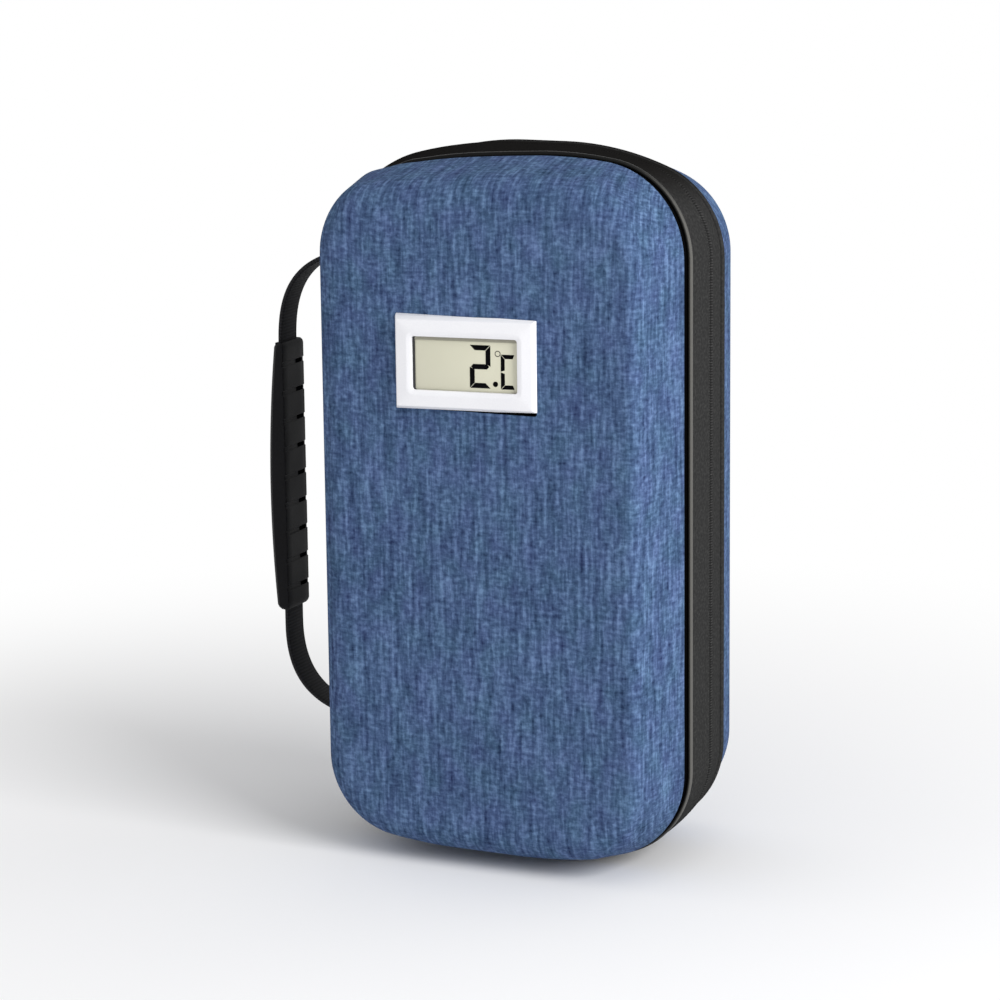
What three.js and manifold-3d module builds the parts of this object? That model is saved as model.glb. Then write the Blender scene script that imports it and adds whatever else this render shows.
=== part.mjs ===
// An insulated case for insulin pens: two moulded half shells that open like a book, a zip round three
// sides, a carrying handle on the spine and a panel thermometer in the front.
// Millimetres, +Z up, the front faces -Y, the handle is on -X. The origin is the middle of the base.

import * as THREE from 'three';
import { mergeVertices } from 'three/addons/utils/BufferGeometryUtils.js';
import Module from 'manifold-3d';

const wasm = await Module();
wasm.setup();

const DEGREE = Math.PI / 180;

// Driving dimensions: the outline of the case in the X-Z plane
const CASE_WIDTH = 120;
const CASE_HEIGHT = 225;
const CORNER_RADIUS = 31;
const END_FLAT = 20;
const CROWN_ANGLE = 6.7 * DEGREE;

// Driving dimensions: depths along Y, and the form of the walls
const FRONT_DEPTH = 25.5;
const REAR_DEPTH = 24;
const BAND_WIDTH = 31.4;
const WALL_DRAFT = 12 * DEGREE;
const FRONT_EDGE_RADIUS = 10;
const REAR_EDGE_RADIUS = 16;
const LEAST_EDGE_RADIUS = 0.4;

// Driving dimensions: layers of the wall, from outside to inside
const FABRIC_THICK = 0.8;
const FOAM_THICK = 4;
const LINER_THICK = 2;
const GAP = 0.3;

// Driving dimensions: the black band between the two fabric rims
const FRONT_GROOVE = 1.5;
const FRONT_WELT_WIDTH = 3.2;
const REAR_GROOVE = 0.8;
const REAR_WELT_WIDTH = 1.4;
const WELT_THICK = 1.6;
const WELT_CHAMFER = 0.5;
const TAPE_THICK = 1;
const SEAM_OFFSET = 2.5;
const SEAM_GAP = 1.2;
const COIL_WIDTH = 1.6;
const COIL_THICK = 1.4;
const TAPE_END_ANGLE = 3.2 * DEGREE;
const STOP_LENGTH = 1.6;

// Driving dimensions: zip slider and pull
const SLIDER_LENGTH = 8;
const SLIDER_WIDTH = 8.6;
const SLIDER_PLATE = 1.4;
const SLIDER_CLEARANCE = 0.5;
const SLIDER_SIDE_CLEARANCE = 1.2;
const SLIDER_POST_LENGTH = 3;
const SLIDER_ANGLE = 12 * DEGREE;
const BRIDGE_WIDTH = 2;
const BRIDGE_OPENING = 2.6;
const BRIDGE_HEIGHT = 2;
const BRIDGE_BAR = 0.9;
const PULL_PIN_RADIUS = 0.55;
const PULL_ARM_WIDTH = 1.2;
const PULL_LENGTH = 13;
const PULL_WIDTH = 6.4;
const PULL_THICK = 1.2;
const PULL_CLEARANCE = 0.4;

// Driving dimensions: spine strip and handle
const SPINE_THICK = 2.4;
const PATCH_THICK = 1.2;
const PATCH_WIDTH = 18;
const PATCH_LENGTH = 14;
const FINGER_GAP = 23.4;
const HANDLE_DROP = 1.3;
const STRAP_WIDTH = 12;
const STRAP_THICK = 1.8;
const STRAP_LEAD = 3.2;
const STRAP_END_MARGIN = 2.6;
const ARCH_LEAVING = 0.55;
const ARCH_SHOULDER_REACH = 0.24;
const ARCH_SHOULDER_RISE = 0.92;
const GRIP_RAISE = 2.6;
const GRIP_LENGTH = 89;
const GRIP_WIDTH = 15;
const GRIP_END_THICK = 4;
const GRIP_MID_THICK = 5.6;
const GRIP_CHAMFER = 0.6;
const NOTCH_COUNT = 9;
const NOTCH_PITCH = 9.4;
const NOTCH_WIDTH = 2.6;
const NOTCH_DEPTH = 1.1;

// Driving dimensions: panel thermometer, placed from the middle of the front
const DISPLAY_X = -2.4;
const DISPLAY_Z = 50.3;
const BEZEL_LAP = 1;
const BEZEL_EDGE = 0.6;
const BEZEL_RISE = 2;
const BEZEL_BEVEL = 1.9;
const HOUSING_WIDTH = 46;
const HOUSING_HEIGHT = 26.6;
const HOUSING_WALL = 1.2;
const WINDOW_FRAME_X = 5.2;
const WINDOW_FRAME_Z = 4.9;
const PANEL_THICK = 1.2;
const BARB_REACH = 1.2;
const BARB_LENGTH = 3;
const BARB_HEIGHT = 8;
const GLASS_LAP_X = 0.5;
const GLASS_LAP_Z = 1.5;
const GLASS_THICK = 2;
const REFLECTOR_THICK = 0.6;
const ZEBRA_HEIGHT = 1.6;
const ZEBRA_THICK = 1.7;
const BOARD_THICK = 1.2;
const SCREW_RADIUS = 0.55;
const SCREW_HEAD_RADIUS = 1.2;
const SCREW_HEAD = 0.9;
const SCREW_BITE = 2.4;
const BOSS_HEIGHT = 4;
const CELL_RADIUS = 5.8;
const CELL_THICK = 5.4;
const CELL_CAP_RADIUS = 5;
const CELL_CAP_STEP = 0.4;
const CELL_PITCH = 12.6;
const HOLDER_WALL = 1.4;
const CONTACT_THICK = 0.4;
const CONTACT_HEIGHT = 4;
const CONTACT_ARCH = 3.6;
const CONTACT_RAMP = 2;
const BAY_WIDTH = 5.5;
const SENSOR_RADIUS = 1.3;
const SENSOR_LENGTH = 4.2;
const REAR_COVER_THICK = 1.5;
const COVER_LIP = 1;
const COVER_LIP_DEPTH = 2;
const VENT_COUNT = 3;
const VENT_PITCH = 2.2;
const VENT_WIDTH = 1;
const VENT_LENGTH = 5;
const INLET_RADIUS = 1.7;
const INLET_BORE = 0.9;
const INLET_FLANGE = 0.7;
const DOOR_THICK = 1.2;
const DOOR_LAP = 1.2;
const RAIL_WIDTH = 1;
const RAIL_LIP = 0.8;
const DOOR_STOP = 4.5;

// Driving dimensions: what lies inside
const GEL_THICK = 12;
const GEL_MARGIN = 9;
const GEL_END_MARGIN = 24;
const GEL_CORNER = 14;
const GEL_CROWN = 7;
const GEL_SEAM = 0.6;
const DIVIDER_THICK = 1.5;
const PEN_BAND_HEIGHT = 20;
const PEN_BAND_THICK = 1.2;
const PEN_BAND_SPACING = 92;
const PEN_BAND_MARGIN = 3;
const POCKET_THICK = 1.2;
const POCKET_CLEARANCE = 8;

// Facets of the curves
const CROWN_STEPS = 2;
const CORNER_STEPS = 7;
const EDGE_STEPS = 4;
const POUCH_STEPS = 3;
const STRAP_STEPS = 9;
const GRIP_STEPS = 10;
const ROUND_STEPS = 16;

// Finishes
const BLUE_WEAVE = { color: 0x4a6390, roughness: 0.95, metalness: 0 };
const BLACK_FOAM = { color: 0x1c1d20, roughness: 0.95, metalness: 0 };
const SILVER_FOIL = { color: 0xc6c9cc, roughness: 0.4, metalness: 0.8 };
const BLACK_TAPE = { color: 0x2e2e30, roughness: 0.5, metalness: 0 };
const GREY_BEAD = { color: 0x4c4b4b, roughness: 0.4, metalness: 0 };
const BLACK_WEBBING = { color: 0x1a1a1c, roughness: 0.9, metalness: 0 };
const BLACK_GRIP = { color: 0x222124, roughness: 0.55, metalness: 0 };
const WHITE_PLASTIC = { color: 0xf2f2f4, roughness: 0.35, metalness: 0 };
const LCD_GREEN = { color: 0xd6d3c0, roughness: 0.2, metalness: 0 };
const PALE_FILM = { color: 0xd9d9d2, roughness: 0.5, metalness: 0 };
const GREY_RUBBER = { color: 0x6a6a6a, roughness: 0.8, metalness: 0 };
const BOARD_GREEN = { color: 0x1f5a3a, roughness: 0.5, metalness: 0 };
const BRIGHT_STEEL = { color: 0xb8babd, roughness: 0.3, metalness: 1 };
const BLACK_METAL = { color: 0x262628, roughness: 0.4, metalness: 0.6 };
const DARK_BEAD = { color: 0x1b1b1b, roughness: 0.4, metalness: 0 };
const GEL_BLUE = { color: 0x8fc3e0, roughness: 0.3, metalness: 0 };
const GREY_CLOTH = { color: 0x55585e, roughness: 0.9, metalness: 0 };
const BLACK_ELASTIC = { color: 0x202022, roughness: 0.85, metalness: 0 };

// Places that follow from the driving dimensions
const FRONT_RIM = -BAND_WIDTH / 2;
const REAR_RIM = BAND_WIDTH / 2;
const FRONT_FACE = FRONT_RIM - FRONT_DEPTH;
const REAR_FACE = REAR_RIM + REAR_DEPTH;
const FOAM_SKIN = FABRIC_THICK + GAP;
const LINER_SKIN = FOAM_SKIN + FOAM_THICK + GAP;
const CAVITY_SKIN = LINER_SKIN + LINER_THICK;
const SEAT = -FABRIC_THICK;
const WELT_OUTER = SEAT + WELT_THICK;
const TAPE_OUTER = SEAT + TAPE_THICK;
const COIL_OUTER = SEAT - GAP;
const COIL_INNER = COIL_OUTER - COIL_THICK;
const FRONT_WELT = [FRONT_RIM + FRONT_GROOVE, FRONT_RIM + FRONT_GROOVE + FRONT_WELT_WIDTH];
const REAR_WELT = [REAR_RIM - REAR_GROOVE - REAR_WELT_WIDTH, REAR_RIM - REAR_GROOVE];
const FRONT_TAPE = [FRONT_WELT[1] + GAP, SEAM_OFFSET - SEAM_GAP / 2];
const REAR_TAPE = [SEAM_OFFSET + SEAM_GAP / 2, REAR_WELT[0] - GAP];
const COLLAR_SETBACK = SLIDER_WIDTH / 2 + SLIDER_SIDE_CLEARANCE;
const FRONT_COLLAR = SEAM_OFFSET - COLLAR_SETBACK - FRONT_RIM;
const REAR_COLLAR = REAR_RIM - SEAM_OFFSET - COLLAR_SETBACK;

const CROWN_SINE = Math.sin(CROWN_ANGLE);
const CROWN_RADIUS = (CASE_WIDTH / 2 - END_FLAT / 2 - CORNER_RADIUS * (1 - CROWN_SINE)) / CROWN_SINE;
const CROWN_CENTRE = new THREE.Vector2(END_FLAT / 2, CASE_HEIGHT / 2 - CROWN_RADIUS);
const CORNER_CENTRE = new THREE.Vector2(
  CASE_WIDTH / 2 - CORNER_RADIUS,
  CROWN_CENTRE.y + (CROWN_RADIUS - CORNER_RADIUS) * Math.cos(CROWN_ANGLE),
);

const SPINE_INNER = -CASE_WIDTH / 2 - SEAT;
const SPINE_OUTER = SPINE_INNER - SPINE_THICK;
const SPINE_HALF = CORNER_CENTRE.y - GAP;
const PATCH_OUTER = SPINE_OUTER - GAP - PATCH_THICK;
const STRAP_END = PATCH_OUTER - GAP;
const HANDLE_AXIS = STRAP_END - STRAP_WIDTH / 2;
const GRIP_INNER = SPINE_OUTER - FINGER_GAP;
const GRIP_OUTER = GRIP_INNER - GRIP_MID_THICK;
const STRAP_PLANE = GRIP_INNER - GRIP_END_THICK / 2;
const STRAP_ANCHOR = SPINE_HALF - HANDLE_DROP - STRAP_END_MARGIN + GAP;
const SLIDER_HALF_ANGLE = SLIDER_LENGTH / 2 / CORNER_RADIUS;
const FRONT_TAPE_START = SLIDER_ANGLE + SLIDER_HALF_ANGLE + TAPE_END_ANGLE;

// Closed indexed mesh of a geometry: shared vertices merged, slivers dropped, faces pointing out
function closedMesh(geometry) {
  const bare = geometry.clone();
  bare.deleteAttribute('normal');
  bare.deleteAttribute('uv');
  const merged = mergeVertices(bare, 1e-4);
  const points = merged.getAttribute('position').array;
  const triangles = [];
  let volume = 0;
  for (let i = 0; i < merged.index.count; i += 3) {
    const [a, b, c] = merged.index.array.slice(i, i + 3);
    if (a !== b && b !== c && c !== a) {
      const corners = [a, b, c].map((k) => new THREE.Vector3().fromArray(points, 3 * k));
      volume += corners[0].dot(corners[1].clone().cross(corners[2]));
      triangles.push([a, b, c]);
    }
  }
  const facing = volume < 0 ? triangles.map(([a, b, c]) => [a, c, b]) : triangles;
  return { points: Float32Array.from(points), triangles: Uint32Array.from(facing.flat()) };
}

function solid(geometry) {
  const { points, triangles } = closedMesh(geometry);
  return new wasm.Manifold(new wasm.Mesh({ numProp: 3, vertProperties: points, triVerts: triangles }));
}

function geometryOf(shape) {
  const geometry = new THREE.BufferGeometry();
  const mesh = shape.isBufferGeometry ? closedMesh(shape) : null;
  const cut = mesh ? null : shape.getMesh();
  const points = mesh ? mesh.points : Float32Array.from(cut.vertProperties);
  const triangles = mesh ? mesh.triangles : Uint32Array.from(cut.triVerts);
  geometry.setAttribute('position', new THREE.BufferAttribute(points, 3));
  geometry.setIndex(new THREE.BufferAttribute(triangles, 1));
  geometry.computeVertexNormals();
  return geometry;
}

function addPart(group, name, shape, finish) {
  const mesh = new THREE.Mesh(geometryOf(shape), new THREE.MeshStandardMaterial(finish));
  mesh.name = name;
  group.add(mesh);
}

function unite(...geometries) {
  return geometries.map(solid).reduce((whole, piece) => whole.add(piece));
}

// Box between two corners, each range given as [low, high]
function box(x, y, z) {
  const geometry = new THREE.BoxGeometry(x[1] - x[0], y[1] - y[0], z[1] - z[0]);
  return geometry.translate((x[0] + x[1]) / 2, (y[0] + y[1]) / 2, (z[0] + z[1]) / 2);
}

function around(centre, size) {
  return [centre - size / 2, centre + size / 2];
}

// Plate with an outline in the X-Z plane, between two places along Y, with chamfered edges if asked
function plate(shape, y, chamfer = 0) {
  const geometry = new THREE.ExtrudeGeometry(shape, {
    depth: y[1] - y[0] - 2 * chamfer,
    bevelEnabled: chamfer > 0,
    bevelThickness: chamfer,
    bevelSize: chamfer,
    bevelOffset: -chamfer,
    bevelSegments: 1,
    curveSegments: ROUND_STEPS / 4,
  });
  return geometry.rotateX(Math.PI / 2).translate(0, y[1] - chamfer, 0);
}

// Round piece about an axis along Y, from points of radius and place along Y
function turned(profile) {
  return new THREE.LatheGeometry(profile.map(([radius, y]) => new THREE.Vector2(radius, y)), ROUND_STEPS);
}

function rod(radius, y) {
  return turned([[0, y[0]], [radius, y[0]], [radius, y[1]], [0, y[1]]]);
}

// Solid through rings of points, anticlockwise in X and Z, closed by a flat face at each end
function loft(rings) {
  const count = rings[0].length;
  const index = [];
  for (let r = 0; r + 1 < rings.length; r += 1) {
    for (let i = 0; i < count; i += 1) {
      const j = (i + 1) % count;
      const [a, b, c, d] = [r * count + i, r * count + j, (r + 1) * count + j, (r + 1) * count + i];
      index.push(a, b, c, a, c, d);
    }
  }
  const face = rings[0].map((p) => new THREE.Vector2(p.x, p.z));
  const last = (rings.length - 1) * count;
  for (const [a, b, c] of THREE.ShapeUtils.triangulateShape(face, [])) {
    index.push(a, c, b, last + a, last + b, last + c);
  }
  const geometry = new THREE.BufferGeometry().setFromPoints(rings.flat());
  geometry.setIndex(index);
  return geometry;
}

// A quarter of the case outline, moved out by offset: from the top flat to the given turn of the corner
function quarter(offset, turn = Math.PI / 2) {
  const points = [];
  for (let i = 0; i <= CROWN_STEPS; i += 1) {
    const a = (CROWN_ANGLE * i) / CROWN_STEPS;
    const r = CROWN_RADIUS + offset;
    points.push(new THREE.Vector2(CROWN_CENTRE.x + r * Math.sin(a), CROWN_CENTRE.y + r * Math.cos(a)));
  }
  for (let i = 1; i <= CORNER_STEPS; i += 1) {
    const a = CROWN_ANGLE + ((turn - CROWN_ANGLE) * i) / CORNER_STEPS;
    const r = CORNER_RADIUS + offset;
    points.push(new THREE.Vector2(CORNER_CENTRE.x + r * Math.sin(a), CORNER_CENTRE.y + r * Math.cos(a)));
  }
  return points;
}

function mirrored(points, signX, signZ) {
  return points.map((p) => new THREE.Vector2(signX * p.x, signZ * p.y));
}

// Case outline from the lower left round the right side to the upper left; the ends may stop short
function outline(offset, upperStop = 0, lowerStop = 0) {
  const quarterTurn = Math.PI / 2;
  return [
    ...mirrored(quarter(offset, quarterTurn - lowerStop), -1, -1).reverse(),
    ...mirrored(quarter(offset), 1, -1),
    ...quarter(offset).reverse(),
    ...mirrored(quarter(offset, quarterTurn - upperStop), -1, 1),
  ];
}

function closedBand(outer, inner, y, chamfer) {
  const shape = new THREE.Shape(outline(outer));
  shape.holes.push(new THREE.Path(outline(inner)));
  return plate(shape, y, chamfer);
}

function openBand(outer, inner, y, upperStop, lowerStop) {
  const back = outline(inner, upperStop, lowerStop).reverse();
  return plate(new THREE.Shape([...outline(outer, upperStop, lowerStop), ...back]), y);
}

// Wall of a half shell, seen in section: inset from the outline against depth from the fabric rim.
// Skin is how far the surface lies inside the outer one.
function wall(depth, radius, skin) {
  const round = Math.max(radius - skin, LEAST_EDGE_RADIUS);
  const centreDepth = depth - skin - round;
  const centreInset = Math.tan(WALL_DRAFT) * centreDepth + (skin + round) / Math.cos(WALL_DRAFT);
  const point = (angle) => ({
    depth: centreDepth + round * Math.sin(angle),
    inset: centreInset - round * Math.cos(angle),
  });
  return { point, tangent: point(WALL_DRAFT).depth, centreDepth, centreInset, round };
}

// Inset of the inner face of a half shell at a depth from its fabric rim
function cavityInset(depth, radius, at) {
  const section = wall(depth, radius, CAVITY_SKIN);
  if (at < section.tangent) {
    return CAVITY_SKIN / Math.cos(WALL_DRAFT) + Math.max(at, 0) * Math.tan(WALL_DRAFT);
  }
  const beyond = Math.min(at - section.centreDepth, section.round);
  return section.centreInset - Math.sqrt(section.round ** 2 - beyond ** 2);
}

// Tub-shaped solid bounded by one surface of a half shell; the collar runs past the fabric rim
function tub(rim, side, depth, radius, skin, collar) {
  const section = wall(depth, radius, skin);
  const rings = [];
  if (collar > 0) {
    rings.push({ depth: -collar, inset: skin });
  }
  rings.push({ depth: -skin * Math.tan(WALL_DRAFT / 2), inset: skin });
  for (let i = 0; i <= EDGE_STEPS; i += 1) {
    rings.push(section.point(WALL_DRAFT + ((Math.PI / 2 - WALL_DRAFT) * i) / EDGE_STEPS));
  }
  return solid(loft(rings.map((ring) => outline(-ring.inset)
    .map((p) => new THREE.Vector3(p.x, rim + side * ring.depth, p.y)))));
}

function halfShell(half, skin, thick, collar) {
  const past = collar + skin + thick;
  const outside = tub(half.rim, half.side, half.depth, half.radius, skin, collar);
  return outside.subtract(tub(half.rim, half.side, half.depth, half.radius, skin + thick, past));
}

function roundedRectangle(x, z, radius) {
  const shape = new THREE.Shape();
  shape.moveTo(x[0] + radius, z[0]);
  shape.lineTo(x[1] - radius, z[0]);
  shape.absarc(x[1] - radius, z[0] + radius, radius, -Math.PI / 2, 0);
  shape.lineTo(x[1], z[1] - radius);
  shape.absarc(x[1] - radius, z[1] - radius, radius, 0, Math.PI / 2);
  shape.lineTo(x[0] + radius, z[1]);
  shape.absarc(x[0] + radius, z[1] - radius, radius, Math.PI / 2, Math.PI);
  shape.lineTo(x[0], z[0] + radius);
  shape.absarc(x[0] + radius, z[0] + radius, radius, Math.PI, 1.5 * Math.PI);
  return shape;
}

// Filled pouch: a plate whose two faces swell out from a seam round its middle
function pouch(x, z, y) {
  const shape = roundedRectangle(x, z, GEL_CORNER);
  const swell = (y[1] - y[0] - GEL_SEAM) / 2;
  const geometry = new THREE.ExtrudeGeometry(shape, {
    depth: GEL_SEAM,
    bevelThickness: swell,
    bevelSize: GEL_CROWN,
    bevelOffset: -GEL_CROWN,
    bevelSegments: POUCH_STEPS,
    curveSegments: ROUND_STEPS / 4,
  });
  return geometry.rotateX(Math.PI / 2).translate(0, y[1] - swell, 0);
}

// Half shells: woven cover, foam, insulating liner
const FRONT = { rim: FRONT_RIM, side: -1, depth: FRONT_DEPTH, radius: FRONT_EDGE_RADIUS };
const REAR = { rim: REAR_RIM, side: 1, depth: REAR_DEPTH, radius: REAR_EDGE_RADIUS };

const displayOpening = solid(box(
  around(DISPLAY_X, HOUSING_WIDTH + 2 * GAP),
  [FRONT_FACE - CAVITY_SKIN, FRONT_FACE + 2 * CAVITY_SKIN],
  around(DISPLAY_Z, HOUSING_HEIGHT + 2 * GAP),
));

function addHalfShells(frontGroup, rearGroup) {
  const frontCover = halfShell(FRONT, 0, FABRIC_THICK, 0);
  const frontFoam = halfShell(FRONT, FOAM_SKIN, FOAM_THICK, FRONT_COLLAR);
  const frontLiner = halfShell(FRONT, LINER_SKIN, LINER_THICK, FRONT_COLLAR);
  addPart(frontGroup, 'front_fabric_cover', frontCover.subtract(displayOpening), BLUE_WEAVE);
  addPart(frontGroup, 'front_foam_shell', frontFoam.subtract(displayOpening), BLACK_FOAM);
  addPart(frontGroup, 'front_insulated_liner', frontLiner.subtract(displayOpening), SILVER_FOIL);
  addPart(rearGroup, 'rear_fabric_cover', halfShell(REAR, 0, FABRIC_THICK, 0), BLUE_WEAVE);
  addPart(rearGroup, 'rear_foam_shell', halfShell(REAR, FOAM_SKIN, FOAM_THICK, REAR_COLLAR), BLACK_FOAM);
  const rearLiner = halfShell(REAR, LINER_SKIN, LINER_THICK, REAR_COLLAR);
  addPart(rearGroup, 'rear_insulated_liner', rearLiner, SILVER_FOIL);
}

// Welts, zip tapes, coils and end stops
function addBand(frontGroup, rearGroup) {
  addPart(frontGroup, 'front_welt', closedBand(WELT_OUTER, SEAT, FRONT_WELT, WELT_CHAMFER), GREY_BEAD);
  addPart(rearGroup, 'rear_welt', closedBand(WELT_OUTER, SEAT, REAR_WELT, 0), BLACK_TAPE);
  const frontTape = openBand(TAPE_OUTER, SEAT, FRONT_TAPE, TAPE_END_ANGLE, FRONT_TAPE_START);
  const rearTape = openBand(TAPE_OUTER, SEAT, REAR_TAPE, TAPE_END_ANGLE, TAPE_END_ANGLE);
  addPart(frontGroup, 'front_zip_tape', frontTape, BLACK_TAPE);
  addPart(rearGroup, 'rear_zip_tape', rearTape, BLACK_TAPE);
  const stopAngle = STOP_LENGTH / CORNER_RADIUS;
  const coilEnd = TAPE_END_ANGLE + stopAngle + GAP / CORNER_RADIUS;
  const frontRow = [FRONT_TAPE[1] - COIL_WIDTH, FRONT_TAPE[1]];
  const rearRow = [REAR_TAPE[0], REAR_TAPE[0] + COIL_WIDTH];
  const frontCoil = openBand(COIL_OUTER, COIL_INNER, frontRow, coilEnd, FRONT_TAPE_START);
  const rearCoil = openBand(COIL_OUTER, COIL_INNER, rearRow, coilEnd, coilEnd);
  addPart(frontGroup, 'front_zip_coil', frontCoil, BLACK_ELASTIC);
  addPart(rearGroup, 'rear_zip_coil', rearCoil, BLACK_ELASTIC);
  for (const [name, end] of [['zip_stop_upper', 1], ['zip_stop_lower', -1]]) {
    const stop = new THREE.Group();
    stop.position.set(-CORNER_CENTRE.x, 0, end * CORNER_CENTRE.y);
    stop.rotation.y = end * (TAPE_END_ANGLE + stopAngle / 2);
    const middle = -CORNER_RADIUS - (COIL_OUTER + COIL_INNER) / 2;
    addPart(stop, name, box(around(middle, COIL_THICK), rearRow, around(0, STOP_LENGTH)), BLACK_METAL);
    rearGroup.add(stop);
  }
}

// Slider on the lower left corner, its plates each side of the tapes, and the pull that hangs from it
function addSlider(sliderGroup, pullGroup) {
  const topInner = -CORNER_RADIUS - TAPE_OUTER - SLIDER_CLEARANCE;
  const topOuter = topInner - SLIDER_PLATE;
  const lowOuter = -CORNER_RADIUS - COIL_INNER + SLIDER_CLEARANCE;
  const bridgeTop = topOuter - BRIDGE_HEIGHT - BRIDGE_BAR;
  const across = around(SEAM_OFFSET, SLIDER_WIDTH);
  const bridgeAcross = around(SEAM_OFFSET, BRIDGE_WIDTH);
  const bridgeSpan = BRIDGE_OPENING + 2 * BRIDGE_BAR;
  const along = around(0, SLIDER_LENGTH);
  const postAcross = around(SEAM_OFFSET, SEAM_GAP - 2 * GAP);
  const body = unite(
    box([topOuter, topInner], across, along),
    box([lowOuter, lowOuter + SLIDER_PLATE], across, along),
    box([topOuter, lowOuter + SLIDER_PLATE], postAcross, around(0, SLIDER_POST_LENGTH)),
    box([bridgeTop, topInner], bridgeAcross, around(0, bridgeSpan)),
  );
  const eye = solid(box([topOuter - BRIDGE_HEIGHT, topOuter], across, around(0, BRIDGE_OPENING)));
  const turn = new THREE.Group();
  turn.position.set(-CORNER_CENTRE.x, 0, -CORNER_CENTRE.y);
  turn.rotation.y = -SLIDER_ANGLE;
  addPart(turn, 'zip_slider', body.subtract(eye), BLACK_METAL);
  sliderGroup.add(turn);

  const pin = topOuter - BRIDGE_HEIGHT / 2;
  const hang = new THREE.Group();
  hang.position.set(
    -CORNER_CENTRE.x + pin * Math.cos(SLIDER_ANGLE),
    SEAM_OFFSET,
    -CORNER_CENTRE.y + pin * Math.sin(SLIDER_ANGLE),
  );
  const armInner = BRIDGE_WIDTH / 2 + PULL_CLEARANCE;
  const armOuter = armInner + PULL_ARM_WIDTH;
  const thick = around(0, PULL_THICK);
  const tabStart = Math.hypot(BRIDGE_HEIGHT / 2 + BRIDGE_BAR, bridgeSpan / 2) + PULL_CLEARANCE;
  const armLength = [-tabStart - PULL_THICK, PULL_PIN_RADIUS];
  const pull = unite(
    new THREE.CylinderGeometry(PULL_PIN_RADIUS, PULL_PIN_RADIUS, 2 * armOuter, ROUND_STEPS),
    box(thick, [armInner, armOuter], armLength),
    box(thick, [-armOuter, -armInner], armLength),
    box(thick, around(0, PULL_WIDTH), [-PULL_LENGTH, -tabStart]),
  );
  addPart(hang, 'zip_pull', pull, BLACK_METAL);
  pullGroup.add(hang);
}

// Spine strip that hinges the two halves, with the sewn patches that hold the strap
function addSpine(group) {
  const strip = box([SPINE_OUTER, SPINE_INNER], [FRONT_TAPE[0], REAR_TAPE[1]], [-SPINE_HALF, SPINE_HALF]);
  addPart(group, 'spine_strip', strip, BLACK_WEBBING);
  for (const [name, end] of [['strap_patch_upper', 1], ['strap_patch_lower', -1]]) {
    const outerEnd = end * (STRAP_ANCHOR + STRAP_THICK + GAP) - HANDLE_DROP;
    const z = [outerEnd, outerEnd - end * PATCH_LENGTH].sort((a, b) => a - b);
    const patch = box([PATCH_OUTER, SPINE_OUTER - GAP], around(0, PATCH_WIDTH), z);
    addPart(group, name, patch, BLACK_WEBBING);
  }
}

// Side view of the strap: straight inside the grip, then an arch to the spine at each end
function strapShape() {
  const leave = GRIP_LENGTH / 2 + STRAP_LEAD;
  const rise = STRAP_ANCHOR - leave;
  const reach = STRAP_END + STRAP_THICK - STRAP_PLANE;
  const arch = new THREE.CubicBezierCurve(
    new THREE.Vector2(STRAP_PLANE, leave),
    new THREE.Vector2(STRAP_PLANE, leave + ARCH_LEAVING * rise),
    new THREE.Vector2(STRAP_PLANE + ARCH_SHOULDER_REACH * reach, leave + ARCH_SHOULDER_RISE * rise),
    new THREE.Vector2(STRAP_PLANE + reach, STRAP_ANCHOR + STRAP_THICK / 2),
  );
  const outer = [];
  const inner = [];
  for (let i = 0; i <= STRAP_STEPS; i += 1) {
    const point = arch.getPoint(i / STRAP_STEPS);
    const along = arch.getTangent(i / STRAP_STEPS);
    const across = new THREE.Vector2(-along.y, along.x).multiplyScalar(STRAP_THICK / 2);
    outer.push(point.clone().add(across));
    inner.push(point.clone().sub(across));
  }
  const upper = [...inner, ...outer.reverse()];
  const lower = mirrored(upper, 1, -1).reverse();
  return new THREE.Shape([...upper, ...lower]);
}

function gripShape() {
  const half = GRIP_LENGTH / 2;
  const shape = new THREE.Shape();
  shape.moveTo(GRIP_INNER, -half);
  for (let i = 0; i < NOTCH_COUNT; i += 1) {
    const [low, high] = around((i - (NOTCH_COUNT - 1) / 2) * NOTCH_PITCH, NOTCH_WIDTH);
    shape.lineTo(GRIP_INNER, low);
    shape.lineTo(GRIP_INNER - NOTCH_DEPTH, low);
    shape.lineTo(GRIP_INNER - NOTCH_DEPTH, high);
    shape.lineTo(GRIP_INNER, high);
  }
  shape.lineTo(GRIP_INNER, half);
  for (let i = 0; i <= GRIP_STEPS; i += 1) {
    const z = half - (GRIP_LENGTH * i) / GRIP_STEPS;
    const swell = (GRIP_MID_THICK - GRIP_END_THICK) * (1 - (z / half) ** 2);
    shape.lineTo(GRIP_INNER - GRIP_END_THICK - swell, z);
  }
  return shape;
}

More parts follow.
